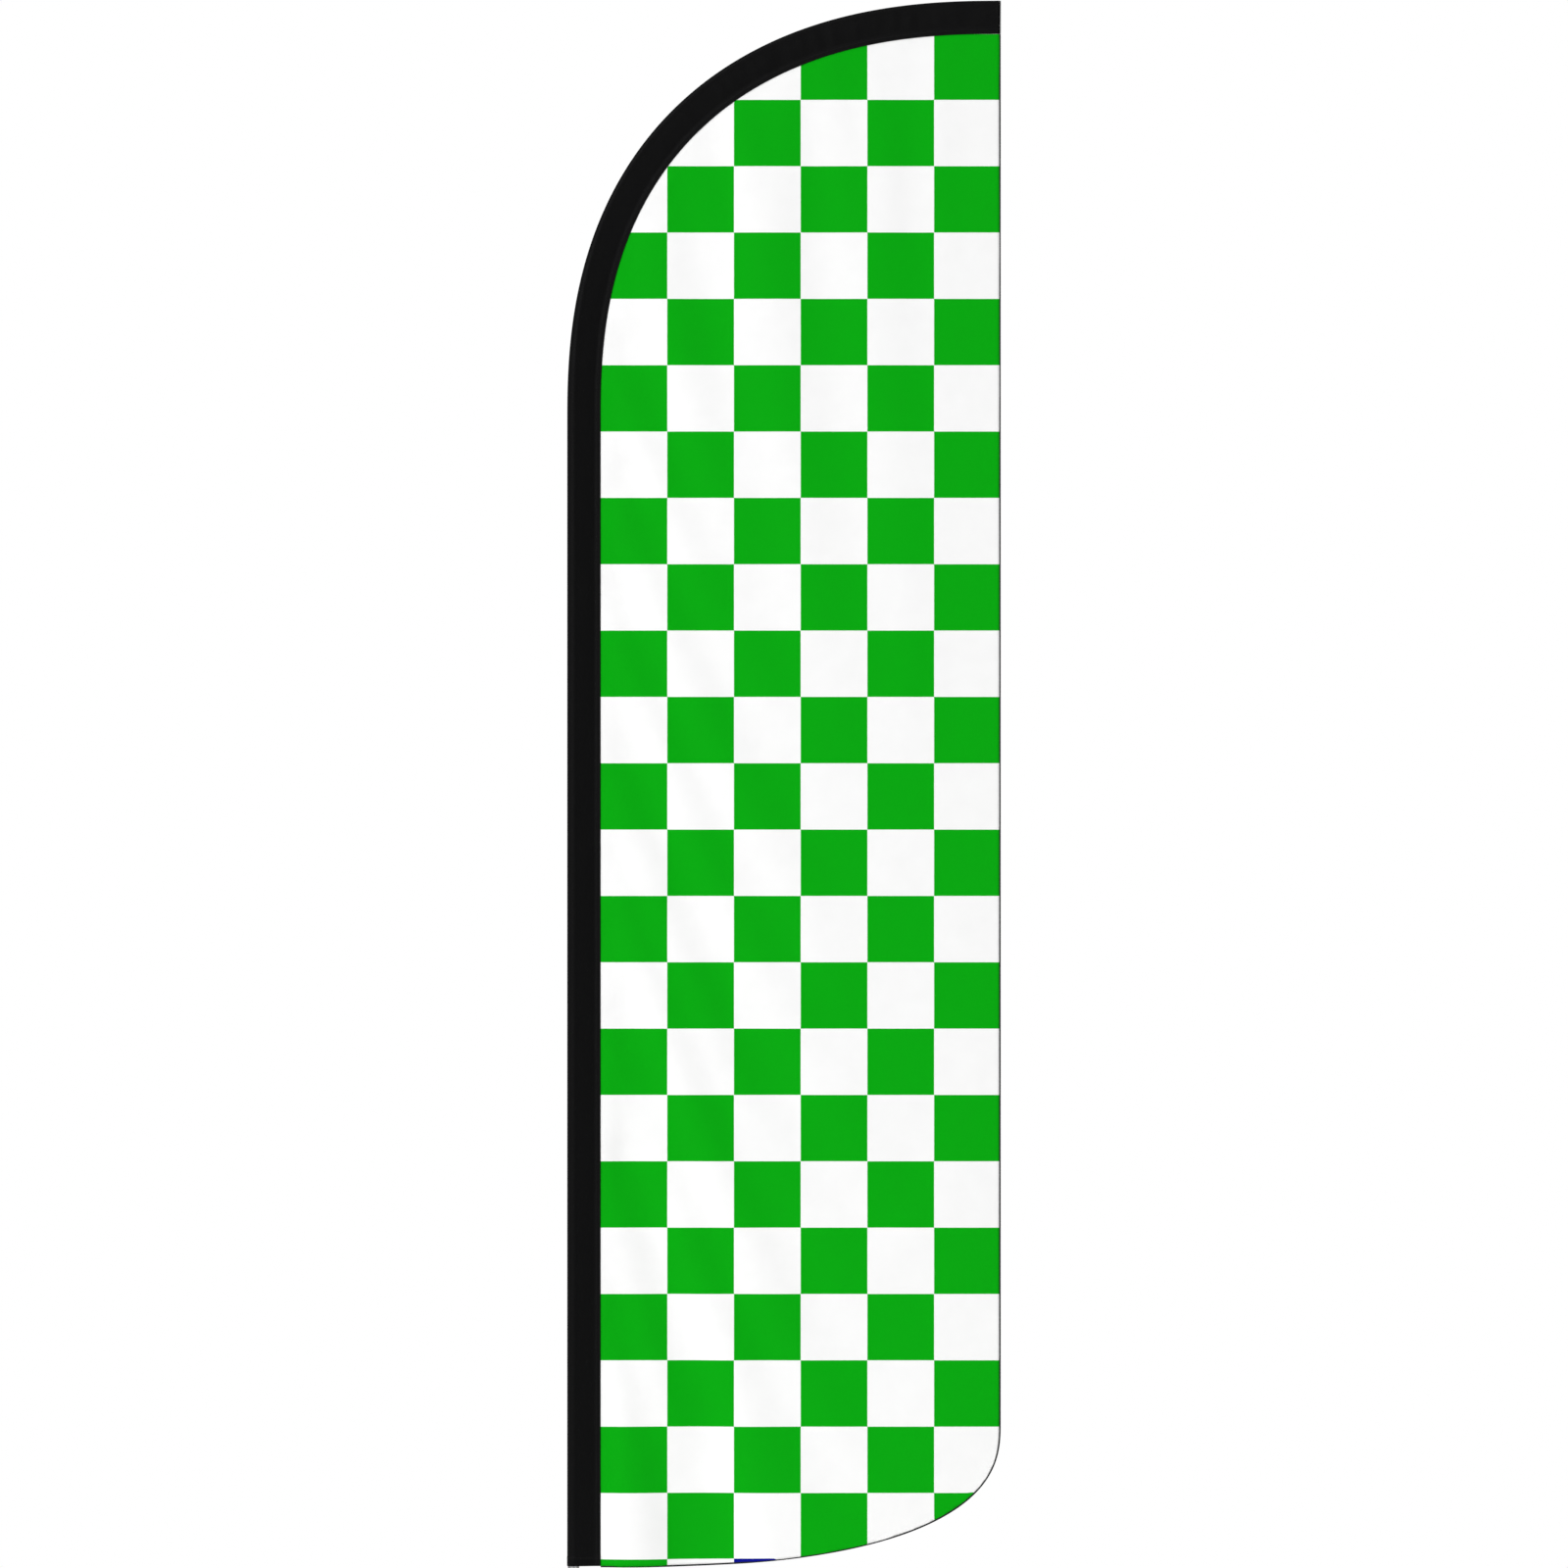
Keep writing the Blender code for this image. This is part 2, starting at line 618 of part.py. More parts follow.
def channel_radius(distance):
    """The radius of the sleeve's round channel: the pole's at first, then the whip's."""
    share = min(max(distance / WHIP_SETTLE, 0), 1)
    settled = share * share * (3 - 2 * share)
    at_pole = POLE_RADIUS + SLEEVE_GAP
    at_whip = whip_radius(distance) + WHIP_SLACK
    return at_pole + (at_whip - at_pole) * settled


def whip_centre(distance):
    """The whip's middle at a distance along the crown."""
    return on_crown(distance) + (channel_radius(distance) + SLEEVE_WALL) * inward(distance)


def whip_ferrule():
    """The collar that carries the whip and plugs into the top tube."""
    bore = WHIP_ROOT_RADIUS + FIT_GAP
    profile = [
        (bore + FERRULE_NOSE_WALL, FERRULE_COLLAR + FERRULE_NOSE),
        (POLE_RADIUS, FERRULE_COLLAR),
        (POLE_RADIUS, 0),
        (SPIGOT_RADIUS, 0),
        (SPIGOT_RADIUS, -SOCKET_DEPTH),
        (bore, -SOCKET_DEPTH),
        (bore, FERRULE_COLLAR + FERRULE_NOSE),
    ]
    ferrule = turned("whip_ferrule", profile, POLE_SIDES, closed=True)
    add(ferrule, BLACK_NYLON, FLAG_BODY, FERRULE_BASE)


def fibreglass_whip():
    """A tapered rod that runs up from its ferrule and round the crown inside the sleeve."""
    route = [(0.0, WHIP_BASE, WHIP_ROOT_RADIUS)]
    for distance in crown_stations(WHIP_END):
        x, z = whip_centre(distance)
        route.append((x, z, whip_radius(distance)))
    curve = bpy.data.curves.new("fibreglass_whip", "CURVE")
    curve.dimensions = "3D"
    curve.bevel_depth = WHIP_ROOT_RADIUS
    curve.bevel_resolution = 2
    curve.use_fill_caps = True
    spline = curve.splines.new("POLY")
    spline.points.add(len(route) - 1)
    for point, (x, z, radius) in zip(spline.points, route):
        point.co = (x, 0, z, 1)
        point.radius = radius / WHIP_ROOT_RADIUS
    add(bpy.data.objects.new("fibreglass_whip", curve), FIBREGLASS, FLAG_BODY)


def tip_cap():
    """The rubber cap over the whip's thin end, which keeps it from piercing the sleeve."""
    bore = whip_radius(WHIP_END - CAP_DEPTH) + FIT_GAP
    outer = bore + CAP_WALL
    rounding = CAP_WALL
    profile = [
        (0, CAP_END),
        (outer - rounding, CAP_END),
        (outer, CAP_END - rounding),
        (outer, -CAP_DEPTH),
        (bore, -CAP_DEPTH),
        (bore, SEAT_GAP),
        (0, SEAT_GAP),
    ]
    cap = turned("tip_cap", profile, CAP_SIDES)
    add(cap, BLACK_RUBBER, FLAG_BODY)
    x, z = whip_centre(WHIP_END)
    along = whip_centre(WHIP_END) - whip_centre(WHIP_END - CAP_DEPTH)
    cap.location.x = x
    cap.location.z = z - FLAG_BODY.location.z
    cap.rotation_euler.y = math.atan2(along[0], along[1])


# ---------------------------------------------------------------- sleeve, panel and edge


def sleeve_section(radius, spread):
    """Half-section points of a sleeve ply, as (inset from the leading edge, y), lip to lip."""
    centre = SLEEVE_WALL + radius
    bend = radius + spread
    lip = LIP_HALF + spread
    lip_start = SLEEVE_WIDTH - LIP_WIDTH
    reach = math.hypot(lip_start - centre, lip)
    tangent = math.atan2(lip, lip_start - centre) + math.acos(bend / reach)
    points = [(SLEEVE_WIDTH, lip), (lip_start, lip)]
    points += arc((centre, 0), bend, tangent, 2 * math.pi - tangent, BULGE_STEPS)
    points += [(lip_start, -lip), (SLEEVE_WIDTH, -lip)]
    return points


def pole_sleeve():
    """One ply folded round the pole and whip, whose two lips hold the panel's edge."""
    end = CROWN_LENGTH - TIP_PATCH_THICKNESS - SEAT_GAP
    stations = [((LEADING_X, MOUTH_HEIGHT), (1, 0), 0)]
    for distance in crown_stations(end):
        stations.append((on_crown(distance), inward(distance), distance))
    points = []
    for edge, normal, distance in stations:
        for inset, side in sleeve_section(channel_radius(distance), 0):
            points.append((edge[0] + inset * normal[0], side, edge[1] + inset * normal[1]))
    across = len(points) // len(stations)
    faces = []
    for row in range(len(stations) - 1):
        for column in range(across - 1):
            corner = row * across + column
            faces.append((corner, corner + 1, corner + across + 1, corner + across))
    mesh = bpy.data.meshes.new("pole_sleeve")
    mesh.from_pydata(points, [], faces)
    sleeve = bpy.data.objects.new("pole_sleeve", mesh)
    solidify = sleeve.modifiers.new("Solidify", "SOLIDIFY")
    solidify.thickness = SLEEVE_WALL
    solidify.offset = 1
    solidify.use_even_offset = True
    add(sleeve, SLEEVE_FABRIC, FLAG_BODY)


def tip_patch():
    """The stitched patch that closes the sleeve's far end."""
    radius = channel_radius(CROWN_LENGTH)
    outline = [(-side, -inset) for inset, side in sleeve_section(radius, SLEEVE_WALL)]
    patch = flat_shape("tip_patch", outline, TIP_PATCH_THICKNESS)
    patch.rotation_euler = (math.pi / 2, 0, math.pi / 2)
    add(patch, SLEEVE_FABRIC, FLAG_BODY, CROWN_TOP)
    patch.location.x = TRAILING_X - TIP_PATCH_THICKNESS / 2


def flag_panel():
    """The printed panel, from between the sleeve's lips to inside the overlocked edge."""
    inset = EDGE_WIDTH + SEAT_GAP
    outline = offset_edge(SLEEVE_WIDTH - PANEL_TUCK, PANEL_BOTTOM + inset, CROWN_LENGTH - inset)
    outline += free_edge(inset)[1:]
    add(flat_shape("flag_panel", outline, PANEL_THICKNESS), FLAG_FABRIC, FLAG_BODY)


def edge_overlock():
    """The overlocked band round the panel's free edges."""
    outline = free_edge(0) + free_edge(EDGE_WIDTH)[::-1]
    add(flat_shape("edge_overlock", outline, EDGE_THICKNESS), THREAD, FLAG_BODY)


# ---------------------------------------------------------------- assembly

spike_rod()
step_plate()
bearing_housing()
housing_cap()
for bearing_name, bearing_height in (("lower_bearing", LOWER_BEARING), ("upper_bearing", UPPER_BEARING)):
    bearing_rings(bearing_name, bearing_height)
    bearing_seals(bearing_name, bearing_height)
    ball_cage(f"{bearing_name}_ball_cage", bearing_height)
bearing_spacers()
spindle()
retaining_ring()
o_rings()
bottom_bush()
for section in range(POLE_SECTIONS):
    pole_section(section)
whip_ferrule()
fibreglass_whip()
tip_cap()
pole_sleeve()
tip_patch()
flag_panel()
edge_overlock()
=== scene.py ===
"""The looks of the feather flag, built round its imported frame.

Metres, in the frame's own axes: the pole stands on the origin, the flag lies in the XZ plane with its
trailing edge towards +X, and its front faces -Y. Pieces take their places from the frame's nodes.
"""

import json
import math

import bmesh
import bpy
import numpy as np
from mathutils import Matrix, Vector, noise
from mathutils.bvhtree import BVHTree

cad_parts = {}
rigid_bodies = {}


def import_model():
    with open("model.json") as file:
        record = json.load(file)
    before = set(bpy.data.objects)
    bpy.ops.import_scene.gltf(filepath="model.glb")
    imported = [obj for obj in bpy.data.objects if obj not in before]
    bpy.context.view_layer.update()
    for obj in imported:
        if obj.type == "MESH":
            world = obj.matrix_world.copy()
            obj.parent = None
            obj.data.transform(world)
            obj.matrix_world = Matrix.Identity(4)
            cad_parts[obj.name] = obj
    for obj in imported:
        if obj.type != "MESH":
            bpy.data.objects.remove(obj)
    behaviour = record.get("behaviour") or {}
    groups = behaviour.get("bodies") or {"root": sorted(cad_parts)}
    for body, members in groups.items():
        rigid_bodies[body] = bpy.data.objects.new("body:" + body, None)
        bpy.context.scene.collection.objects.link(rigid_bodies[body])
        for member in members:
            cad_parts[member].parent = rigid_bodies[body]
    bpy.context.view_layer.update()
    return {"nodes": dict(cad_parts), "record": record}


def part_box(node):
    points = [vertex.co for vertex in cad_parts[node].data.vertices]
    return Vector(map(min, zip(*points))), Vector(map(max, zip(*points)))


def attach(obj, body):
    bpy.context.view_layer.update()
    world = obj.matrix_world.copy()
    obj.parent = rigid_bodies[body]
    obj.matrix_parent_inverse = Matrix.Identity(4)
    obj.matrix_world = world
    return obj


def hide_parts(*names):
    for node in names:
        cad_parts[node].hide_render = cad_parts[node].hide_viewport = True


for leftover in list(bpy.data.objects):
    bpy.data.objects.remove(leftover, do_unlink=True)

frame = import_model()

BODY_OF = {node: body for body, nodes in frame["record"]["behaviour"]["bodies"].items() for node in nodes}
SLOT_OF = {part["node"]: part["material_slot"] for part in frame["record"]["subparts"]}

# ---- sizes read from the frame

sleeve_low, sleeve_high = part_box("pole_sleeve")
patch_low, patch_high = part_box("tip_patch")
panel_low, panel_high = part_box("flag_panel")
edge_low, edge_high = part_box("edge_overlock")

LEADING_X = sleeve_low.x
TRAILING_X = edge_high.x
CROWN_TOP = sleeve_high.z
PANEL_BOTTOM = edge_low.z
MOUTH = sleeve_low.z
FLAG_WIDTH = TRAILING_X - LEADING_X
FLAG_HEIGHT = CROWN_TOP - PANEL_BOTTOM
SLEEVE_WIDTH = patch_high.z - patch_low.z
SEAM_X = LEADING_X + SLEEVE_WIDTH
PANEL_TUCK = SEAM_X - panel_low.x
PANEL_THICKNESS = panel_high.y - panel_low.y
PATCH_THICKNESS = patch_high.x - patch_low.x
POLE_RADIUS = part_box("pole_section_1")[1].x
SPIKE_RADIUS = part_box("spike_rod")[1].x

# ---- sizes shared with the CAD model

CROWN_HEIGHT = 0.933
CROWN_EXPONENT = 2.38
TAIL_HEIGHT = 0.319
TAIL_START = 0.094
TAIL_EXPONENT = 2.54
LIP_WIDTH = 0.012
SLEEVE_WALL = 0.0008
EDGE_WIDTH = 0.004
SLEEVE_GAP = 0.0008
WHIP_ROOT_RADIUS = 0.006
WHIP_TIP_RADIUS = 0.002
WHIP_SLACK = 0.0028
WHIP_SETTLE = 0.55
SEAT_GAP = 0.0003
RUN_GAP = 0.0006
FIT_GAP = 0.0003
POLE_WALL = 0.0012

CROWN_START = CROWN_TOP - CROWN_HEIGHT
STRAIGHT = CROWN_START - MOUTH
LIP_HALF = PANEL_THICKNESS / 2 + SEAT_GAP

# ---- mesh helpers

TURNED_SIDES = 96
TURNED_SHARP = math.radians(40)
PATCH_SHARP = math.radians(50)
BEVELLED_ANGLE = math.radians(30)

SIDEWAYS = np.array([0.0, 1.0, 0.0])
UPWARD = np.array([0.0, 0.0, 1.0])


def unit(vectors):
    """The rows of an array, each scaled to a length of one."""
    return vectors / np.linalg.norm(vectors, axis=1)[:, None]


def directions(points):
    """The unit direction of a line at each of its points."""
    return unit(np.gradient(points, axis=0))


def full_turn(steps):
    """Angles in equal steps round a circle."""
    return np.arange(steps) * 2 * math.pi / steps


def smooth_step(share):
    share = np.clip(share, 0, 1)
    return share * share * (3 - 2 * share)


def noise_at(x, y, z):
    """Smooth noise at many places at once."""
    x, y, z = np.broadcast_arrays(x, y, z)
    values = [noise.noise(place) for place in zip(x.ravel(), y.ravel(), z.ravel())]
    return np.reshape(values, x.shape)


def read_off(table, distances, wanted):
    """The rows of a table known at some distances, read off at others."""
    return np.column_stack([np.interp(wanted, distances, column) for column in table.T])


def evenly(points, step):
    """The same line with its points at even distances, and the distance along it to each."""
    lengths = np.linalg.norm(np.diff(points, axis=0), axis=1)
    travelled = np.concatenate([[0], np.cumsum(lengths)])
    distances = np.linspace(0, travelled[-1], round(travelled[-1] / step) + 1)
    return read_off(points, travelled, distances), distances


def show(obj):
    bpy.context.scene.collection.objects.link(obj)
    return obj


def placed(mesh, node, surfaces=()):
    """Shows a mesh as a piece that moves with a node's body and has the finish of the node's slot."""
    for surface in surfaces or [FINISHES[SLOT_OF[node]]]:
        mesh.materials.append(surface)
    mesh.shade_smooth()
    piece = show(bpy.data.objects.new(mesh.name, mesh))
    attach(piece, BODY_OF[node])
    return piece


def mesh_piece(name, node, points, faces, closed=True):
    """A piece from points and faces; a closed one faces outwards."""
    mesh = bpy.data.meshes.new(name)
    mesh.from_pydata([tuple(point) for point in points], [], faces)
    if closed:
        work = bmesh.new()
        work.from_mesh(mesh)
        bmesh.ops.recalc_face_normals(work, faces=work.faces[:])
        work.to_mesh(mesh)
        work.free()
    return placed(mesh, node)


def rows_of_faces(rows, columns, round_across=False, round_along=False):
    """Quads between the points of a grid, which may close across its columns or along its rows."""
    faces = []
    for row in range(rows if round_along else rows - 1):
        above = (row + 1) % rows
        for column in range(columns if round_across else columns - 1):
            side = (column + 1) % columns
            corners = ((row, column), (row, side), (above, side), (above, column))
            faces.append(tuple(line * columns + place for line, place in corners))
    return faces


def capped_faces(rings, sides):
    """The faces of a tube of rings, with its two ends closed."""
    first = tuple(range(sides))[::-1]
    last = tuple(range((rings - 1) * sides, rings * sides))
    return rows_of_faces(rings, sides, round_across=True) + [first, last]


def ring_points(centres, over, up, sides):
    """Points of a ring round each centre. Over and up reach from the centre to the ring."""
    turn = full_turn(sides)[None, :, None]
    rings = centres[:, None, :] + np.cos(turn) * over[:, None, :] + np.sin(turn) * up[:, None, :]
    return rings.reshape(-1, 3)


def tube(name, node, centres, over, up, sides):
    """A closed tube along a line of centres."""
    return mesh_piece(name, node, ring_points(centres, over, up, sides), capped_faces(len(centres), sides))


def turned(name, node, profile, bevel=0.0003, sides=TURNED_SIDES):
    """Turns a node's stand-in about +Z from an outline of (radius, height) that runs down the outer side."""
    points, rings, faces = [], [], []
    for radius, height in profile:
        angles = full_turn(sides if radius else 1)
        rings.append(range(len(points), len(points) + len(angles)))
        points += [(radius * math.cos(angle), radius * math.sin(angle), height) for angle in angles]
    closing = [(rings[-1], rings[0])] if profile[0][0] else []
    for upper, lower in list(zip(rings, rings[1:])) + closing:
        for step in range(sides):
            after = (step + 1) % sides
            corners = ((upper, step), (lower, step), (lower, after), (upper, after))
            faces.append(tuple(dict.fromkeys(ring[place % len(ring)] for ring, place in corners)))
    piece = mesh_piece(name, node, points, faces)
    piece.data.set_sharp_from_angle(angle=TURNED_SHARP)
    if bevel:
        round_edges(piece, bevel)
    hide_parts(node)
    return piece


def stepped(height, *walls):
    """An outline of upright walls from a first height, each given by its radius and the height it runs to."""
    points = []
    for radius, end in walls:
        points += [(radius, height), (radius, end)]
        height = end
    return points


def round_edges(piece, width):
    """Small rounds on the sharp edges, so that they catch the light as machined edges do."""
    bevel = piece.modifiers.new("Bevel", "BEVEL")
    bevel.width = width
    bevel.segments = 2
    bevel.limit_method = "ANGLE"
    bevel.angle_limit = BEVELLED_ANGLE
    bevel.harden_normals = True


# ---- materials

# the colour sockets of a Mix node, whose names it shares with its other sockets
MIX_FACTOR = 0
MIX_FIRST = 6
MIX_SECOND = 7
MIX_RESULT = 2

WAVES_IN_SCALE = math.pi / 10  # a wave texture's scale at a pitch of one metre


def add_node(tree, kind, inputs, **settings):
    """Adds a node, with values or other nodes' outputs at its inputs, and returns its outputs."""
    made = tree.nodes.new(kind)
    for name, value in settings.items():
        setattr(made, name, value)
    for name, value in inputs.items():
        socket = made.inputs[name]
        if isinstance(value, bpy.types.NodeSocket):
            tree.links.new(value, socket)
        else:
            socket.default_value = value
    return made.outputs


class Surface:
    """A material with a plain shader, to which textures, colour, roughness and bump are added."""

    def __init__(self, title, roughness, metallic=0.0, specular=0.5, sheen=0.0):
        self.material = bpy.data.materials.new(title)
        self.material.use_nodes = True
        self.tree = self.material.node_tree
        self.shader = self.tree.nodes["Principled BSDF"].inputs
        self.roughness = roughness
        self.shader["Roughness"].default_value = roughness
        self.shader["Metallic"].default_value = metallic
        self.shader["Specular IOR Level"].default_value = specular
        self.shader["Sheen Weight"].default_value = sheen
        self.places = self.add("ShaderNodeTexCoord", {})["Object"]

    def add(self, kind, inputs, **settings):
        return add_node(self.tree, kind, inputs, **settings)

    def bands(self, direction, pitch):
        """Soft ridges every pitch along an axis, from 0 to 1."""
        inputs = {"Vector": self.places, "Scale": WAVES_IN_SCALE / pitch}
        return self.add("ShaderNodeTexWave", inputs, wave_type="BANDS", bands_direction=direction)["Fac"]

    def noise(self, size, detail=3.0, stretch=None):
        """Noise with features of about this size, from 0 to 1, on coordinates stretched along each axis."""
        places = self.places
        if stretch:
            places = self.add("ShaderNodeMapping", {"Vector": places, "Scale": stretch})["Vector"]
        return self.add("ShaderNodeTexNoise", {"Vector": places, "Scale": 1 / size, "Detail": detail})["Fac"]

    def product(self, first, second):
        return self.add("ShaderNodeMath", {0: first, 1: second}, operation="MULTIPLY")["Value"]

    def blend(self, first, second, share):
        """A mix of two factors, in which the second has this share."""
        parts = {0: self.product(first, 1 - share), 1: self.product(second, share)}
        return self.add("ShaderNodeMath", parts, operation="ADD")["Value"]

    def link(self, output, name):
        self.tree.links.new(output, self.shader[name])

    def paint(self, factor, first, second):
        """Takes the colour from the first to the second with a factor from 0 to 1."""
        inputs = {MIX_FACTOR: factor, MIX_FIRST: (*first, 1), MIX_SECOND: (*second, 1)}
        self.link(self.add("ShaderNodeMix", inputs, data_type="RGBA")[MIX_RESULT], "Base Color")

    def shade(self, factor, colour, darkest, lightest):
        """Scales the colour from darkest to lightest with a factor from 0 to 1."""
        ends = [[min(1, channel * scale) for channel in colour] for scale in (darkest, lightest)]
        self.paint(factor, *ends)

    def roughen(self, factor, less, more):
        """Moves the roughness from less to more than its own value with a factor from 0 to 1."""
        inputs = {"Value": factor, "To Min": self.roughness - less, "To Max": self.roughness + more}
        self.link(self.add("ShaderNodeMapRange", inputs)["Result"], "Roughness")

    def emboss(self, height, depth):
        """Bump of this depth in metres."""
        inputs = {"Strength": 1.0, "Distance": depth, "Height": height}
        self.link(self.add("ShaderNodeBump", inputs)["Normal"], "Normal")


def printed_knit(name, ink):
    """Warp-knit polyester dyed right through: fine wales and courses, with a faint mottle."""
    surface = Surface(name, roughness=0.72, specular=0.06, sheen=0.02)
    knit = surface.product(surface.bands("X", pitch=0.0012), surface.bands("Z", pitch=0.0009))
    mottle = surface.noise(size=0.05)
    surface.shade(surface.blend(knit, mottle, share=0.5), ink, darkest=0.94, lightest=1.04)
    surface.roughen(mottle, less=0.06, more=0.08)
    surface.emboss(knit, depth=0.00012)
    return surface.material


def woven_cloth(name, dye, pitch):
    """Plain-woven black polyester with a soft sheen and slightly uneven yarns."""
    surface = Surface(name, roughness=0.7, specular=0.07, sheen=0.02)
    weave = surface.product(surface.bands("X", pitch), surface.bands("Z", pitch))
    slubs = surface.noise(size=0.004, stretch=(1, 1, 0.15))
    shade = surface.blend(weave, slubs, share=0.5)
    surface.shade(shade, dye, darkest=0.6, lightest=1.5)
    surface.roughen(weave, less=0.2, more=0.15)
    surface.emboss(shade, depth=0.0002)
    return surface.material


def thread_surface(name, dye):
    """Twisted polyester sewing thread."""
    surface = Surface(name, roughness=0.5, specular=0.16)
    twist = surface.noise(size=0.0006, detail=1.0)
    surface.shade(twist, dye, darkest=0.6, lightest=1.6)
    surface.roughen(twist, less=0.08, more=0.12)
    surface.emboss(twist, depth=0.0001)
    return surface.material


def drawn_metal(name, colour, roughness):
    """Tube drawn along Z: fine lines along it, a faint cloudy finish and a few scuffs."""
    surface = Surface(name, roughness, metallic=1.0)
    lines = surface.noise(size=0.0006, detail=4.0, stretch=(1, 1, 0.01))
    cloud = surface.noise(size=0.04)
    scuffs = surface.noise(size=0.008, detail=8.0, stretch=(1, 1, 0.3))
    surface.shade(surface.blend(lines, cloud, share=0.6), colour, darkest=0.82, lightest=1.1)
    surface.roughen(scuffs, less=0.12, more=0.16)
    surface.emboss(lines, depth=0.00003)
    return surface.material


def plated_steel(name, colour, roughness):
    """Bright zinc plate on turned steel: machining lines under a mottled, slightly dull film."""
    surface = Surface(name, roughness, metallic=1.0)
    cuts = surface.bands("Z", pitch=0.0009)
    film = surface.noise(size=0.006, detail=6.0)
    cloud = surface.noise(size=0.03, detail=2.0)
    surface.shade(surface.blend(film, cloud, share=0.5), colour, darkest=0.7, lightest=1.18)
    surface.roughen(film, less=0.12, more=0.18)
    surface.emboss(surface.blend(cuts, film, share=0.6), depth=0.00006)
    return surface.material


def ground_steel(name, colour, roughness):
    """Ground and hardened bearing steel, with lines round it."""
    surface = Surface(name, roughness, metallic=1.0)
    lines = surface.noise(size=0.0004, stretch=(0.05, 0.05, 1))
    surface.shade(lines, colour, darkest=0.85, lightest=1.1)
    surface.roughen(lines, less=0.08, more=0.1)
    surface.emboss(lines, depth=0.00001)
    return surface.material


def moulded(name, colour, roughness, specular):
    """Moulded plastic or rubber with a fine spark-eroded grain."""
    surface = Surface(name, roughness, specular=specular)
    pores = surface.noise(size=0.0012, detail=2.0)
    cloud = surface.noise(size=0.02)
    surface.shade(cloud, colour, darkest=0.75, lightest=1.4)
    surface.roughen(pores, less=0.08, more=0.12)
    surface.emboss(pores, depth=0.00005)
    return surface.material


def pultruded_glass(name, colour):
    """Glass-fibre rod with its rovings showing along it through clear resin."""
    surface = Surface(name, roughness=0.35)
    rovings = surface.noise(size=0.0008, detail=5.0, stretch=(1, 1, 0.02))
    surface.shade(rovings, colour, darkest=0.78, lightest=1.12)
    surface.roughen(rovings, less=0.07, more=0.11)
    surface.emboss(rovings, depth=0.00004)
    return surface.material


GREEN = printed_knit("knit_green", (0.0, 0.38, 0.003))
WHITE = printed_knit("knit_white", (0.95, 0.95, 0.95))
NAVY = printed_knit("knit_navy", (0.001, 0.003, 0.25))

FINISHES = {
    "zinc_steel": plated_steel("zinc_plate", (0.5, 0.51, 0.53), roughness=0.36),
    "bearing_steel": ground_steel("ground_bearing_steel", (0.68, 0.68, 0.69), roughness=0.2),
    "black_rubber": moulded("black_moulded_rubber", (0.01, 0.01, 0.011), roughness=0.7, specular=0.3),
    "black_nylon": moulded("black_moulded_nylon", (0.018, 0.018, 0.02), roughness=0.45, specular=0.4),
    "anodised_aluminium": drawn_metal("anodised_tube", (0.6, 0.61, 0.62), roughness=0.34),
    "fibreglass": pultruded_glass("pultruded_fibreglass", (0.8, 0.81, 0.76)),
    "sleeve_fabric": woven_cloth("sleeve_cloth", (0.002, 0.002, 0.0022), pitch=0.0006),
    "flag_fabric": WHITE,
    "edge_thread": thread_surface("black_thread", (0.008, 0.008, 0.0085)),
}


def finish_frame_nodes():
    """Every node that stays in view takes the full material of its slot."""
    for name, node in frame["nodes"].items():
        node.data.materials[0] = FINISHES[SLOT_OF[name]]


# ---- the flag's path

FINE_STEPS = 4000
PATH_STEP = 0.002
CROWN_EASE = 0.25  # how far into the crown the sleeve's folds have changed to gathers
PATH_BATCH = 1000  # points compared with the whole path at a time


def quarter_oval(width, height, exponent):
    """Fine distances across and up along a quarter of a superellipse, from its side to its top."""
    angles = np.linspace(0, math.pi / 2, FINE_STEPS)
    power = 2 / exponent
    return width * np.clip(np.cos(angles), 0, None) ** power, height * np.sin(angles) ** power


def crown_edge():
    """Fine points of the crown's outer edge, from the pole to the trailing edge."""
    across, up = quarter_oval(FLAG_WIDTH, CROWN_HEIGHT, CROWN_EXPONENT)
    return np.column_stack([TRAILING_X - across, CROWN_START + up])


def tail_edge():
    """Fine points of the panel's free edge, from the trailing corner down and back to the seam."""
    width = FLAG_WIDTH - TAIL_START
    across, down = quarter_oval(width, TAIL_HEIGHT, TAIL_EXPONENT)
    curve = np.column_stack([TRAILING_X - width + across, PANEL_BOTTOM + TAIL_HEIGHT - down])
    top = (TRAILING_X, CROWN_TOP - SLEEVE_WIDTH - SEAT_GAP)
    seam = (SEAM_X + SEAT_GAP, PANEL_BOTTOM)
    return np.vstack([top, curve, seam])


def right_hand(points):
    """The unit normals on the right of a line in the XZ plane."""
    along = directions(points)
    return np.column_stack([along[:, 1], -along[:, 0]])


PATH, PATH_DISTANCES = evenly(np.vstack([[LEADING_X, MOUTH], crown_edge()]), PATH_STEP)
PATH_INWARD = right_hand(PATH)
PATH_LENGTH = PATH_DISTANCES[-1]
SLEEVE_END = PATH_LENGTH - PATCH_THICKNESS - SEAT_GAP


def on_path(distances):
    """Points of the leading edge and crown at distances from the mouth, and their inward normals."""
    inward = unit(read_off(PATH_INWARD, PATH_DISTANCES, distances))
    return read_off(PATH, PATH_DISTANCES, distances), inward


def whip_radius(distances, end):
    """The whip's radius, which tapers from the crown's start to its end."""
    share = np.clip((distances - STRAIGHT) / (end - STRAIGHT), 0, 1)
    return WHIP_ROOT_RADIUS + (WHIP_TIP_RADIUS - WHIP_ROOT_RADIUS) * share


def channel_radius(distances):
    """The radius of the sleeve's round channel: the pole's at first, then the whip's."""
    at_pole = POLE_RADIUS + SLEEVE_GAP
    at_whip = whip_radius(distances, PATH_LENGTH) + WHIP_SLACK
    return at_pole + (at_whip - at_pole) * smooth_step((distances - STRAIGHT) / WHIP_SETTLE)


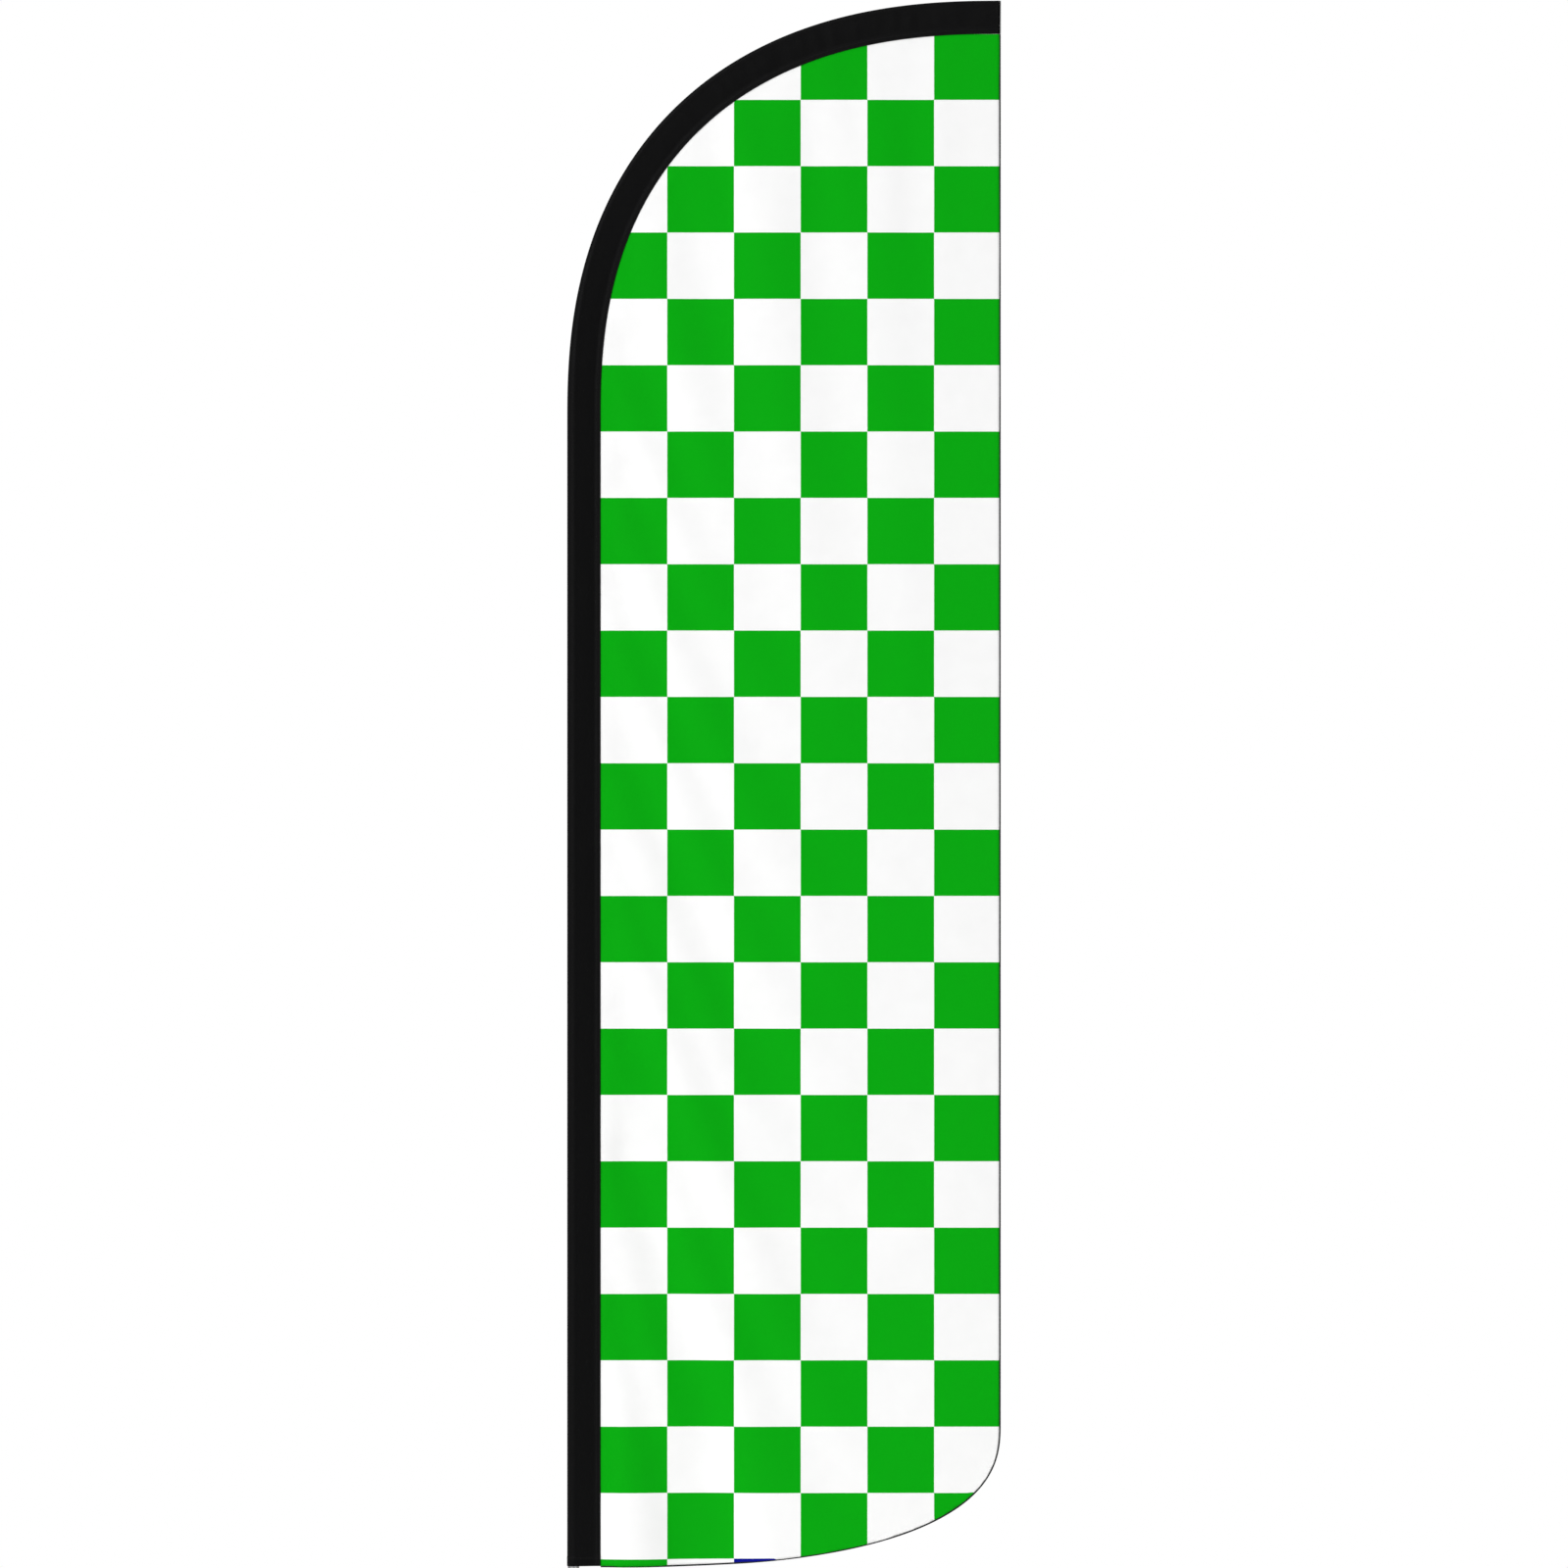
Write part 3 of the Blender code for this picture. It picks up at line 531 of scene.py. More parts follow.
def nearest_on_path(points):
    """For points (x, z): the distance along the path, and how deep they lie inside its edge."""
    along = np.empty(len(points))
    depth = np.empty(len(points))
    for start in range(0, len(points), PATH_BATCH):
        part = slice(start, start + PATH_BATCH)
        apart = np.linalg.norm(points[part, None, :] - PATH[None, :, :], axis=2)
        along[part] = PATH_DISTANCES[apart.argmin(axis=1)]
        depth[part] = apart.min(axis=1)
    return along, depth


# ---- panel

CHECK_COLUMNS = 6
CHECK_ROWS = 22  # whole rows between the part rows at the top and the bottom
TOP_ROW = 0.2220  # the crown's top to the first row line
BOTTOM_ROW = 0.0180  # the last row line to the panel's lowest point
CELLS = 9  # cloth cells along one check
ODD_COLUMN = 2  # the column whose bottom sliver is printed navy
PRINTS = (WHITE, GREEN, NAVY)
TUCK_RISE = 0.004  # how far the corner inside the sleeve's lips stops above its mouth
OUTLINE_STEP = 0.02
CUT_MERGE = 0.0008
CUT_MISS = 0.00001

COLUMN_PITCH = (TRAILING_X - SEAM_X) / CHECK_COLUMNS
ROW_PITCH = (FLAG_HEIGHT - TOP_ROW - BOTTOM_ROW) / CHECK_ROWS

SIM_FRAMES = 30
SPARE_CLOTH = 0.010  # how much longer the cloth is each way than the frame that holds it
BILLOW_SHARE = 0.5  # the flag is held nearly flat, so only this share of the free billow is kept
MOST_BILLOW = 0.016
BILLOW_ROUNDS = 3  # of smoothing
HELD_DEPTH = 0.001  # cloth less deep than this past the seam is held by it
FREE_DEPTH = 0.05  # and cloth as deep as this is free
SHORT_PUCKER = {"height": 0.0016, "along": 38, "across": 26, "starts": 0.006, "fades": 0.035, "seed": 3.1}
LONG_PUCKER = {"height": 0.0035, "along": 9, "across": 4, "starts": 0.03, "fades": 0.22, "seed": 9.4}
THIN_POLYESTER = {
    "quality": 6,
    "mass": 0.02,
    "air_damping": 1.5,
    "tension_stiffness": 40,
    "compression_stiffness": 20,
    "shear_stiffness": 10,
    "bending_stiffness": 0.5,
    "shrink_min": -SPARE_CLOTH,
}


def panel_outline():
    """The cut panel's corner points (x, z), convex and anticlockwise from the front."""
    inset = EDGE_WIDTH / 2
    free, _ = evenly(tail_edge()[::-1], OUTLINE_STEP)
    free = free + inset * -right_hand(free)
    crown, _ = evenly(crown_edge(), OUTLINE_STEP)
    crown = crown + (SLEEVE_WIDTH - PANEL_TUCK) * right_hand(crown)
    crown = crown[crown[:, 0] < TRAILING_X - inset]
    tucked = (panel_low.x, MOUTH + TUCK_RISE)
    bottom = (SEAM_X, PANEL_BOTTOM + inset)
    top = (TRAILING_X - inset, crown[-1, 1])
    return np.vstack([tucked, bottom, free[1:-1], top, crown[::-1]])


def grid_lines(anchor, pitch, low, high):
    """Lines every pitch that pass through the anchor and cover low to high."""
    steps = range(math.floor((low - anchor) / pitch), math.ceil((high - anchor) / pitch) + 1)
    return [anchor + pitch * step for step in steps]


def print_of(x, z):
    """Which of the prints shows at a place."""
    column = min(max(int((x - SEAM_X) // COLUMN_PITCH), 0), CHECK_COLUMNS - 1)
    row = int((CROWN_TOP - TOP_ROW - z) // ROW_PITCH) + 1
    if row > CHECK_ROWS and column == ODD_COLUMN:
        return PRINTS.index(NAVY)
    return PRINTS.index(GREEN if (column + row) % 2 else WHITE)


def cut_panel():
    """The flat panel: a grid in step with the checks, cut to the outline edge by edge."""
    columns = grid_lines(SEAM_X, COLUMN_PITCH / CELLS, panel_low.x, TRAILING_X)
    rows = grid_lines(CROWN_TOP - TOP_ROW, ROW_PITCH / CELLS, PANEL_BOTTOM, CROWN_TOP)
    points = [(x, 0, z) for z in rows for x in columns]
    mesh = bpy.data.meshes.new("printed_panel")
    mesh.from_pydata(points, [], rows_of_faces(len(rows), len(columns)))
    work = bmesh.new()
    work.from_mesh(mesh)
    outline = panel_outline()
    for start, end in zip(outline, np.roll(outline, -1, axis=0)):
        bmesh.ops.bisect_plane(
            work,
            geom=work.verts[:] + work.edges[:] + work.faces[:],
            dist=CUT_MISS,
            plane_co=(start[0], 0, start[1]),
            plane_no=(end[1] - start[1], 0, start[0] - end[0]),
            clear_outer=True,
        )
    bmesh.ops.remove_doubles(work, verts=work.verts[:], dist=CUT_MERGE)
    for face in work.faces:
        middle = face.calc_center_median()
        face.material_index = print_of(middle.x, middle.z)
    work.to_mesh(mesh)
    work.free()
    return placed(mesh, "flag_panel", PRINTS)


def places_of(mesh):
    places = np.empty(len(mesh.vertices) * 3)
    mesh.vertices.foreach_get("co", places)
    return places.reshape(-1, 3)


def gusts():
    """Light, uneven air that unsettles the hanging cloth."""
    bpy.ops.object.effector_add(type="TURBULENCE", location=(0.5, 0, 2))
    air = bpy.context.object
    air.field.strength = 6
    air.field.size = 0.5
    air.field.seed = 7
    return air


def billow(panel, held):
    """How far each point of the panel moves in Y when the cloth hangs from its seam."""
    group = panel.vertex_groups.new(name="held")
    group.add([int(index) for index in np.flatnonzero(held)], 1.0, "REPLACE")
    cloth = panel.modifiers.new("Cloth", "CLOTH")
    for name, value in THIN_POLYESTER.items():
        setattr(cloth.settings, name, value)
    cloth.settings.vertex_group_mass = group.name
    cloth.collision_settings.use_collision = False
    cloth.point_cache.frame_start = 1
    cloth.point_cache.frame_end = SIM_FRAMES
    air = gusts()
    scene = bpy.context.scene
    for step in range(1, SIM_FRAMES + 1):
        scene.frame_set(step)
    graph = bpy.context.evaluated_depsgraph_get()
    moved = places_of(panel.evaluated_get(graph).data)
    panel.modifiers.remove(cloth)
    panel.vertex_groups.remove(group)
    bpy.data.objects.remove(air, do_unlink=True)
    scene.frame_set(1)
    return moved[:, 1]


def relaxed(mesh, values, rounds):
    """The values, each moved this many times to the mean of its own and its neighbours'."""
    ends = np.empty(len(mesh.edges) * 2, int)
    mesh.edges.foreach_get("vertices", ends)
    first, second = ends.reshape(-1, 2).T
    count = np.ones(len(values))
    np.add.at(count, first, 1)
    np.add.at(count, second, 1)
    for _ in range(rounds):
        total = values.copy()
        np.add.at(total, first, values[second])
        np.add.at(total, second, values[first])
        values = total / count
    return values


def puckers(distances, depth, height, along, across, starts, fades, seed):
    """Wrinkles that run out from the seam and fade away, with so many waves a metre along and across it."""
    reach = np.exp(-depth / fades) * smooth_step(depth / starts)
    return height * reach * noise_at(depth * across, distances * along, seed)


def flag_panel():
    """The printed panel: its outline stays as cut and sewn, and it billows and puckers only in Y."""
    panel = cut_panel()
    places = places_of(panel.data)
    cut_area = sum(face.area for face in panel.data.polygons)
    along, depth = nearest_on_path(places[:, [0, 2]])
    depth = depth - SLEEVE_WIDTH
    moved = BILLOW_SHARE * relaxed(panel.data, billow(panel, depth < HELD_DEPTH), BILLOW_ROUNDS)
    places[:, 1] += MOST_BILLOW * np.tanh(moved / MOST_BILLOW) * smooth_step(depth / FREE_DEPTH)
    depth = np.clip(depth, 0, None)
    places[:, 1] += puckers(along, depth, **SHORT_PUCKER) + puckers(along, depth, **LONG_PUCKER)
    panel.data.vertices.foreach_set("co", places.astype(np.float32).ravel())
    panel.data.update()
    finer = panel.modifiers.new("Subdivision", "SUBSURF")
    finer.levels = 1
    finer.render_levels = 1
    ply = panel.modifiers.new("Solidify", "SOLIDIFY")
    ply.thickness = PANEL_THICKNESS
    ply.offset = 0
    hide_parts("flag_panel")
    return panel, cut_area


# ---- sleeve

SLEEVE_STEP = 0.006
HEM_WIDTH = 0.022
HEM_SECTIONS = (0, 0.0006, 0.002, 0.006, 0.011, 0.016, 0.0195)
HEM_STEP = 0.001  # from the hem's fold to the sections on each side of it
HEM_RAISE = 0.0007
HEM_ROUND = 0.002
FOLD_RAISE = 0.0005
LIP_PLACES = (0, 0.03, 0.1, 0.19, 0.32, 0.5, 0.68, 0.84, 0.93, 1.0)
LIP_SHAPE = (0.1, 0.75, 1.0, 0.55, 1.0, 1.0, 1.0, 0.55, 0.8, 0.2)
LIPS = len(LIP_PLACES)
WEB_STEPS = 10
BULGE_STEPS = 12
PATCH_RINGS = ((0.97, 0), (1.0, 0.1), (1.0, 0.55), (0.985, 0.85), (0.95, 1.0))

# how freely the cloth folds at the lips, between them and the channel, and round the channel
LIP_LOOSENESS = 0.12
WEB_LOOSENESS = (0.35, 0.65)  # the least, and what the middle has more
CHANNEL_LOOSENESS = 0.55

# folds on the straight and gathers round the crown, in waves per metre of length or of width
DRAG_WAVES = {"along": 13, "slant": 9, "across": 16, "seed": 5.3}
GATHER_WAVES = {"along": 44, "slant": 0, "across": 10, "seed": 8.7}
GATHER_SHIFT = 2
SLACK_DEPTH = 0.0011
SLACK_GATHER = 0.0005
BUNCH_DEPTH = 0.0012
BUNCH_DRAG = 0.0006


def sleeve_rows():
    """Distances of the sleeve's sections from its mouth, closer together through the hem."""
    hem = [*HEM_SECTIONS, HEM_WIDTH - HEM_STEP, HEM_WIDTH, HEM_WIDTH + 2 * HEM_STEP]
    count = round((SLEEVE_END - hem[-1]) / SLEEVE_STEP)
    return np.concatenate([hem, np.linspace(hem[-1], SLEEVE_END, count + 1)[1:]])


def half_section(radius):
    """The outer face from lip to leading edge: insets, sides, and the outward direction of each."""
    bend = (radius + SLEEVE_WALL)[:, None]
    lip = LIP_HALF + SLEEVE_WALL
    lip_start = SLEEVE_WIDTH - LIP_WIDTH
    reach = np.hypot(lip_start - bend, lip)
    tangent = np.arctan2(lip, lip_start - bend) + np.arccos(bend / reach)
    web = np.arange(1, WEB_STEPS) / WEB_STEPS
    turns = tangent + (math.pi - tangent) * np.arange(BULGE_STEPS + 1) / BULGE_STEPS
    flat = np.ones((len(radius), LIPS))
    touch_inset = bend + bend * np.cos(tangent)
    touch_side = bend * np.sin(tangent)
    insets = [
        flat * (SLEEVE_WIDTH - np.array(LIP_PLACES) * LIP_WIDTH),
        lip_start + (touch_inset - lip_start) * web,
        bend + bend * np.cos(turns),
    ]
    sides = [flat * lip, lip + (touch_side - lip) * web, bend * np.sin(turns)]
    facing = np.hstack([flat * math.pi / 2, tangent * np.ones(len(web)), turns])
    return np.hstack(insets), np.hstack(sides), np.cos(facing), np.sin(facing)


def folds(distances, insets, face, along, slant, across, seed, shift=0):
    """Smooth folds over one face of the sleeve, from -1 to 1."""
    return noise_at(distances * along + insets * slant, insets * across, face * seed + shift)


def sleeve_relief(distances, insets, face):
    """How far one face stands off its plain section: folds, hem and seam allowance."""
    web_start, web_more = WEB_LOOSENESS
    looseness = np.concatenate(
        [
            np.full(LIPS, LIP_LOOSENESS),
            web_start + web_more * np.sin(np.linspace(0.1, 0.95, WEB_STEPS - 1) * math.pi),
            CHANNEL_LOOSENESS * (1 - smooth_step(np.linspace(0, 1, BULGE_STEPS + 1))),
        ]
    )
    distances = distances[:, None]
    drag = folds(distances, insets, face, **DRAG_WAVES)
    gather = folds(distances, insets, face, **GATHER_WAVES, shift=GATHER_SHIFT)
    slack = SLACK_DEPTH * (0.5 + drag) + SLACK_GATHER * gather
    bunch = BUNCH_DEPTH * (0.5 + gather) + BUNCH_DRAG * drag
    curved = smooth_step((distances - STRAIGHT) / CROWN_EASE)
    relief = (slack + (bunch - slack) * curved) * looseness
    relief[:, :LIPS] += FOLD_RAISE * np.array(LIP_SHAPE)
    in_hem = 1 - smooth_step((distances - HEM_WIDTH + HEM_STEP) / (2 * HEM_STEP))
    relief += HEM_RAISE * in_hem * smooth_step(distances / HEM_ROUND) * np.minimum(1, looseness + 0.6)
    return np.clip(relief, 0, None)


def sleeve_outlines(distances):
    """The sleeve's outer face at these distances: a row of points each, front lip round to back lip."""
    edges, inward = on_path(distances)
    insets, sides, over_inset, over_side = half_section(channel_radius(distances))
    faces = []
    for face in (-1, 1):
        relief = sleeve_relief(distances, insets, face)
        depth = insets + relief * over_inset
        depth[:, 0] = SLEEVE_WIDTH
        side = face * (sides + relief * over_side)
        x = edges[:, :1] + depth * inward[:, :1]
        z = edges[:, 1:] + depth * inward[:, 1:]
        faces.append(np.stack([x, side, z], axis=2))
    front, back = faces
    return np.concatenate([front, back[:, -2::-1]], axis=1)


def pole_sleeve():
    """One strip folded round the pole and whip, hemmed at the mouth and sewn to the panel's edge."""
    outlines = sleeve_outlines(sleeve_rows())
    rows, columns = outlines.shape[:2]
    quads = [quad[::-1] for quad in rows_of_faces(rows, columns)]
    sleeve = mesh_piece("hemmed_sleeve", "pole_sleeve", outlines.reshape(-1, 3), quads, closed=False)
    ply = sleeve.modifiers.new("Solidify", "SOLIDIFY")
    ply.thickness = SLEEVE_WALL
    ply.offset = -1
    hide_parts("pole_sleeve")
    strip = np.linalg.norm(np.diff(outlines[len(outlines) // 4], axis=0), axis=1).sum()
    return sleeve, float(strip)


def tip_patch():
    """The patch that closes the sleeve's far end, turned over the sleeve's edge."""
    outline = sleeve_outlines(np.array([SLEEVE_END]))[0]
    middle = np.array([0, CROWN_TOP - SLEEVE_WIDTH / 2])
    rings = []
    for share, place in PATCH_RINGS:
        ring = outline.copy()
        ring[:, 0] = patch_low.x + (patch_high.x - patch_low.x) * place
        ring[:, 1:] = middle + (ring[:, 1:] - middle) * share
        rings.append(ring)
    faces = capped_faces(len(rings), len(outline))
    patch = mesh_piece("closed_tip", "tip_patch", np.vstack(rings), faces)
    patch.data.set_sharp_from_angle(angle=PATCH_SHARP)
    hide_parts("tip_patch")


# ---- free edge of the panel

EDGE_STEP = 0.004
OVERLOCK_HALF_THICKNESS = 0.0007
OVERLOCK_SIDES = 12
LOOP_PITCH = 0.0022
LOOP_POINTS = 9
LOOP_SIDES = 5
LOOP_THREAD = 0.00024
LOOP_STAND = 0.1  # how far the loops' middle stands off the band, in thread radii
BAND_HALF_WIDTH = EDGE_WIDTH / 2 - LOOP_THREAD
SLOPE_REACH = 2  # the panel's slope is taken over this many edge widths
EASING = np.array([1, 2, 3, 2, 1]) / 9


def heights_along(tree, line):
    """The panel's Y at points (x, z), from the nearest points of its surface, smoothed along the line."""
    heights = []
    for x, z in line:
        place = Vector((x, 0, z))
        for _ in range(3):
            place.y = tree.find_nearest(place)[0].y
        heights.append(place.y)
    return np.convolve(np.pad(heights, len(EASING) // 2, mode="edge"), EASING, mode="valid")


def free_edge_line(panel):
    """Points along the panel's free edge, in step with its billows, and two directions at each."""
    edge, distances = evenly(tail_edge(), EDGE_STEP)
    outward = -right_hand(edge)
    tree = BVHTree.FromObject(panel, bpy.context.evaluated_depsgraph_get())
    middle = edge - outward * EDGE_WIDTH / 2
    near = heights_along(tree, middle)
    far = heights_along(tree, edge - outward * EDGE_WIDTH * (SLOPE_REACH + 0.5))
    slope = (near - far) / (EDGE_WIDTH * SLOPE_REACH)
    out = unit(np.column_stack([outward[:, 0], slope, outward[:, 1]]))
    centres = np.column_stack([middle[:, 0], near, middle[:, 1]])
    over = unit(np.cross(directions(centres), out))
    return centres, out, over, distances


def overlocked_band(centres, out, over):
    """The wrapped band round the free edge."""
    wide = BAND_HALF_WIDTH * out
    deep = OVERLOCK_HALF_THICKNESS * over
    band = tube("overlocked_band", "edge_overlock", centres, wide, deep, OVERLOCK_SIDES)
    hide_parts("edge_overlock")


def overlock_loops(centres, out, over, distances):
    """The thread that loops over the band."""
    length = distances[-1]
    wanted = np.linspace(0, length, round(length / LOOP_PITCH * LOOP_POINTS))
    turn = (2 * math.pi * wanted / LOOP_PITCH)[:, None]
    middle, out, over = (read_off(table, distances, wanted) for table in (centres, out, over))
    stand = LOOP_THREAD * LOOP_STAND
    coil = middle + (BAND_HALF_WIDTH + stand) * np.cos(turn) * out
    coil += (OVERLOCK_HALF_THICKNESS + stand) * np.sin(turn) * over
    along = directions(coil)
    up = unit(np.cross(along, np.cross(out, over)))
    side = np.cross(up, along)
    tube("overlock_loops", "edge_overlock", coil, LOOP_THREAD * side, LOOP_THREAD * up, LOOP_SIDES)


# ---- stitching

STITCH_PITCH = 0.0036
STITCH_LENGTH = 0.0029
STITCH_RADIUS = 0.00028
STITCH_SIDES = 5
# along the stitch in its lengths, its height in radii, and its swell
STITCH_STATIONS = ((-0.5, -1.2, 0.35), (-0.4, 0.1, 1), (0, 0.55, 1.05), (0.4, 0.1, 1), (0.5, -1.2, 0.35))
SEAM_ROWS = (0.0023, 0.0098)  # each row of stitches, in from the seam's edge
HEM_ROWS = (0.0165, 0.0195)
TIP_ROWS = (0.005, 0.008)


def stitch_shape():
    """One stitch: a short, slightly sunk thread, as local (along, out, aside) points."""
    turn = full_turn(STITCH_SIDES)
    along, height, swell = np.array(STITCH_STATIONS).T[:, :, None]
    out = STITCH_RADIUS * (height + swell * np.sin(turn))
    aside = STITCH_RADIUS * swell * np.cos(turn)
    return np.stack(np.broadcast_arrays(along * STITCH_LENGTH, out, aside), axis=2).reshape(-1, 3)


def stitches(name, places, along, out):
    """One piece that holds a stitch at every place, lying along the row and standing on the cloth."""
    shape = stitch_shape()
    shape_faces = capped_faces(len(STITCH_STATIONS), STITCH_SIDES)
    axes = np.stack(np.broadcast_arrays(along, out, np.cross(along, out)), axis=1)
    points = places[:, None, :] + shape @ axes
    starts = range(0, len(places) * len(shape), len(shape))
    faces = [tuple(corner + start for corner in face) for start in starts for face in shape_faces]
    mesh_piece(name, "edge_overlock", points.reshape(-1, 3), faces)


def seam_stitches():
    """Two rows of lockstitch along each lip of the sleeve, front and back."""
    distances = np.arange(STITCH_PITCH, PATH_LENGTH - PATCH_THICKNESS - STITCH_PITCH, STITCH_PITCH)
    edges, inward = on_path(distances)
    along = np.column_stack([-inward[:, 1], np.zeros(len(distances)), inward[:, 0]])
    heights = sleeve_outlines(distances)[:, :, 1]
    for name, face in (("front_seam_stitches", -1), ("back_seam_stitches", 1)):
        lips = (heights if face < 0 else heights[:, ::-1])[:, :LIPS]
        rows = []
        for row in SEAM_ROWS:
            depth = SLEEVE_WIDTH - row
            side = [np.interp(row / LIP_WIDTH, LIP_PLACES, lip) for lip in lips]
            x, z = (edges + depth * inward).T
            rows.append(np.column_stack([x, side, z]))
        stitches(name, np.vstack(rows), np.vstack([along] * len(SEAM_ROWS)), face * SIDEWAYS)


def cross_stitches(name, distances):
    """Rows of lockstitch round the sleeve, across its length."""
    places, along, out = [], [], []
    _, inward = on_path(distances)
    for outline, deeper in zip(sleeve_outlines(distances), inward):
        line, _ = evenly(outline, STITCH_PITCH)
        direction = directions(line)
        lengthwise = (deeper[1], 0, -deeper[0])
        places.append(line[1:-1])
        along.append(direction[1:-1])
        out.append(np.cross(direction, lengthwise)[1:-1])
    stitches(name, np.vstack(places), np.vstack(along), np.vstack(out))


# ---- pole and whip

PLUG_DEPTH = 0.070
SWAGE_LENGTH = 0.006
SHOULDER_CHAMFER = 0.0008
POLE_BORE = POLE_RADIUS - POLE_WALL
SPIGOT_RADIUS = POLE_BORE - FIT_GAP
STUB_RADIUS = 0.009
BUSH_FLANGE = 0.003
BUSH_LEAD = (0.0008, 0.0015)  # how much narrower its top is, and over what length
FERRULE_NOSE = 0.020
FERRULE_NOSE_WALL = 0.0016
CAP_DEPTH = 0.010
CAP_WALL = 0.0013
CAP_END = 0.003
CAP_ARC_STEPS = 6
CAP_SIDES = 48
WHIP_END = PATH_LENGTH - PATCH_THICKNESS - CAP_END - 3 * SEAT_GAP
WHIP_STEP = 0.008
WHIP_SIDES = 24


def pole_tube(number):
    """One drawn tube, with a swaged spigot below on all but the lowest."""
    node = f"pole_section_{number}"
    low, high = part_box(node)
    profile = stepped(high.z, (POLE_RADIUS, low.z), (POLE_BORE, high.z))
    if number > 1:
        shoulder = low.z + PLUG_DEPTH
        profile = [
            *stepped(high.z, (POLE_RADIUS, shoulder + SHOULDER_CHAMFER)),
            (POLE_RADIUS - SHOULDER_CHAMFER, shoulder),
            *stepped(shoulder, (SPIGOT_RADIUS, low.z), (SPIGOT_RADIUS - POLE_WALL, shoulder)),
            *stepped(shoulder + SWAGE_LENGTH, (POLE_BORE, high.z)),
        ]
    turned(f"drawn_tube_{number}", node, profile)


def bush():
    """The nylon liner, whose flange shows under the lowest tube."""
    low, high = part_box("bottom_bush")
    bore = STUB_RADIUS + RUN_GAP
    narrower, length = BUSH_LEAD
    walls = [(SPIGOT_RADIUS, low.z + BUSH_FLANGE), (high.x, low.z), (bore, high.z)]
    profile = [(SPIGOT_RADIUS - narrower, high.z), *stepped(high.z - length, *walls)]
    turned("flanged_bush", "bottom_bush", profile, bevel=0.0004)


def ferrule():
    """The collar and plug that carry the whip."""
    low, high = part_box("whip_ferrule")
    bore = WHIP_ROOT_RADIUS + FIT_GAP
    walls = [(POLE_RADIUS, low.z + PLUG_DEPTH), (SPIGOT_RADIUS, low.z), (bore, high.z)]
    profile = [(bore + FERRULE_NOSE_WALL, high.z), *stepped(high.z - FERRULE_NOSE, *walls)]
    turned("moulded_ferrule", "whip_ferrule", profile, bevel=0.0005)


def whip_line(distances):
    """Points of the whip's middle at distances along the path."""
    edges, inward = on_path(distances)
    x, z = (edges + (channel_radius(distances) + SLEEVE_WALL)[:, None] * inward).T
    return np.column_stack([x, np.zeros(len(distances)), z])


def whip():
    """The tapered glass-fibre rod, from inside its ferrule round the crown to its cap."""
    low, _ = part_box("fibreglass_whip")
    first = low.z - MOUTH
    distances = np.linspace(first, WHIP_END, round((WHIP_END - first) / WHIP_STEP) + 1)
    centres = whip_line(distances)
    centres[distances < STRAIGHT, 0] = 0
    over = np.cross(directions(centres), SIDEWAYS)
    radii = whip_radius(distances, WHIP_END)[:, None]
    rod = tube("tapered_whip", "fibreglass_whip", centres, radii * over, radii * SIDEWAYS, WHIP_SIDES)
    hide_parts("fibreglass_whip")


def whip_cap():
    """The soft cap over the whip's thin end."""
    start, end = whip_line(np.array([WHIP_END - CAP_DEPTH, WHIP_END]))
    bore = whip_radius(WHIP_END - CAP_DEPTH, WHIP_END) + FIT_GAP
    profile = [(0, CAP_END)]
    for step in range(1, CAP_ARC_STEPS + 1):
        angle = math.pi / 2 * step / CAP_ARC_STEPS
        profile.append((bore + CAP_WALL * math.sin(angle), CAP_END - CAP_WALL * (1 - math.cos(angle))))
    profile += [(bore + CAP_WALL, -CAP_DEPTH), (bore, -CAP_DEPTH), (bore, SEAT_GAP), (0, SEAT_GAP)]
    piece = turned("moulded_tip_cap", "tip_cap", profile, bevel=0.0002, sides=CAP_SIDES)
    turn = Vector(end - start).to_track_quat("Z", "Y").to_matrix().to_4x4()
    piece.data.transform(Matrix.Translation(end) @ turn)


# ---- ground spike and its bearing housing

SPIKE_POINT = 0.045
SPIKE_BLUNT = (0.0007, 0.0012)  # the radius where the point is blunted, and its height
SPIKE_CHAMFER = 0.001
SPIKE_HOLE = SPIKE_RADIUS + FIT_GAP
SPIKE_HOLE_DEPTH = 0.010
HOUSING_FLOOR = 0.005
EDGE_CHAMFER = 0.0012
PLATE_CORNER = 0.008
PLATE_CORNER_STEPS = 10
PLATE_HOLE_SIDES = 48
PLATE_ROUND = 0.0007
STUB_TIP = 0.006
FLANGE_THICKNESS = 0.004
CLIP_GROOVE_DEPTH = 0.0012
CLIP_REACH = 0.003  # how far the clip stands out from the journal
O_RING_SIDES = 16
WELD_SCALLOPS = 26
WELD_STEPS = 8  # in each scallop
WELD_SIDES = 12
SCALLOP_DEPTH = 0.14  # as a share of the bead
WELD_UNEVENNESS = 0.05
HOUSING_WELD = 0.0022
HOUSING_WELD_RISE = 0.0003
SPIKE_WELD = 0.0019


def spike():
    """The driven rod, chamfered at its top and turned to a blunted point."""
    low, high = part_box("spike_rod")
    blunt_radius, blunt_height = SPIKE_BLUNT
    shaft = stepped(high.z - SPIKE_CHAMFER, (SPIKE_RADIUS, low.z + SPIKE_POINT))
    profile = [(0, high.z), (SPIKE_RADIUS - SPIKE_CHAMFER, high.z), *shaft]
    profile += [(blunt_radius, low.z + blunt_height), (0, low.z)]
    turned("pointed_spike", "spike_rod", profile, bevel=0.0008)


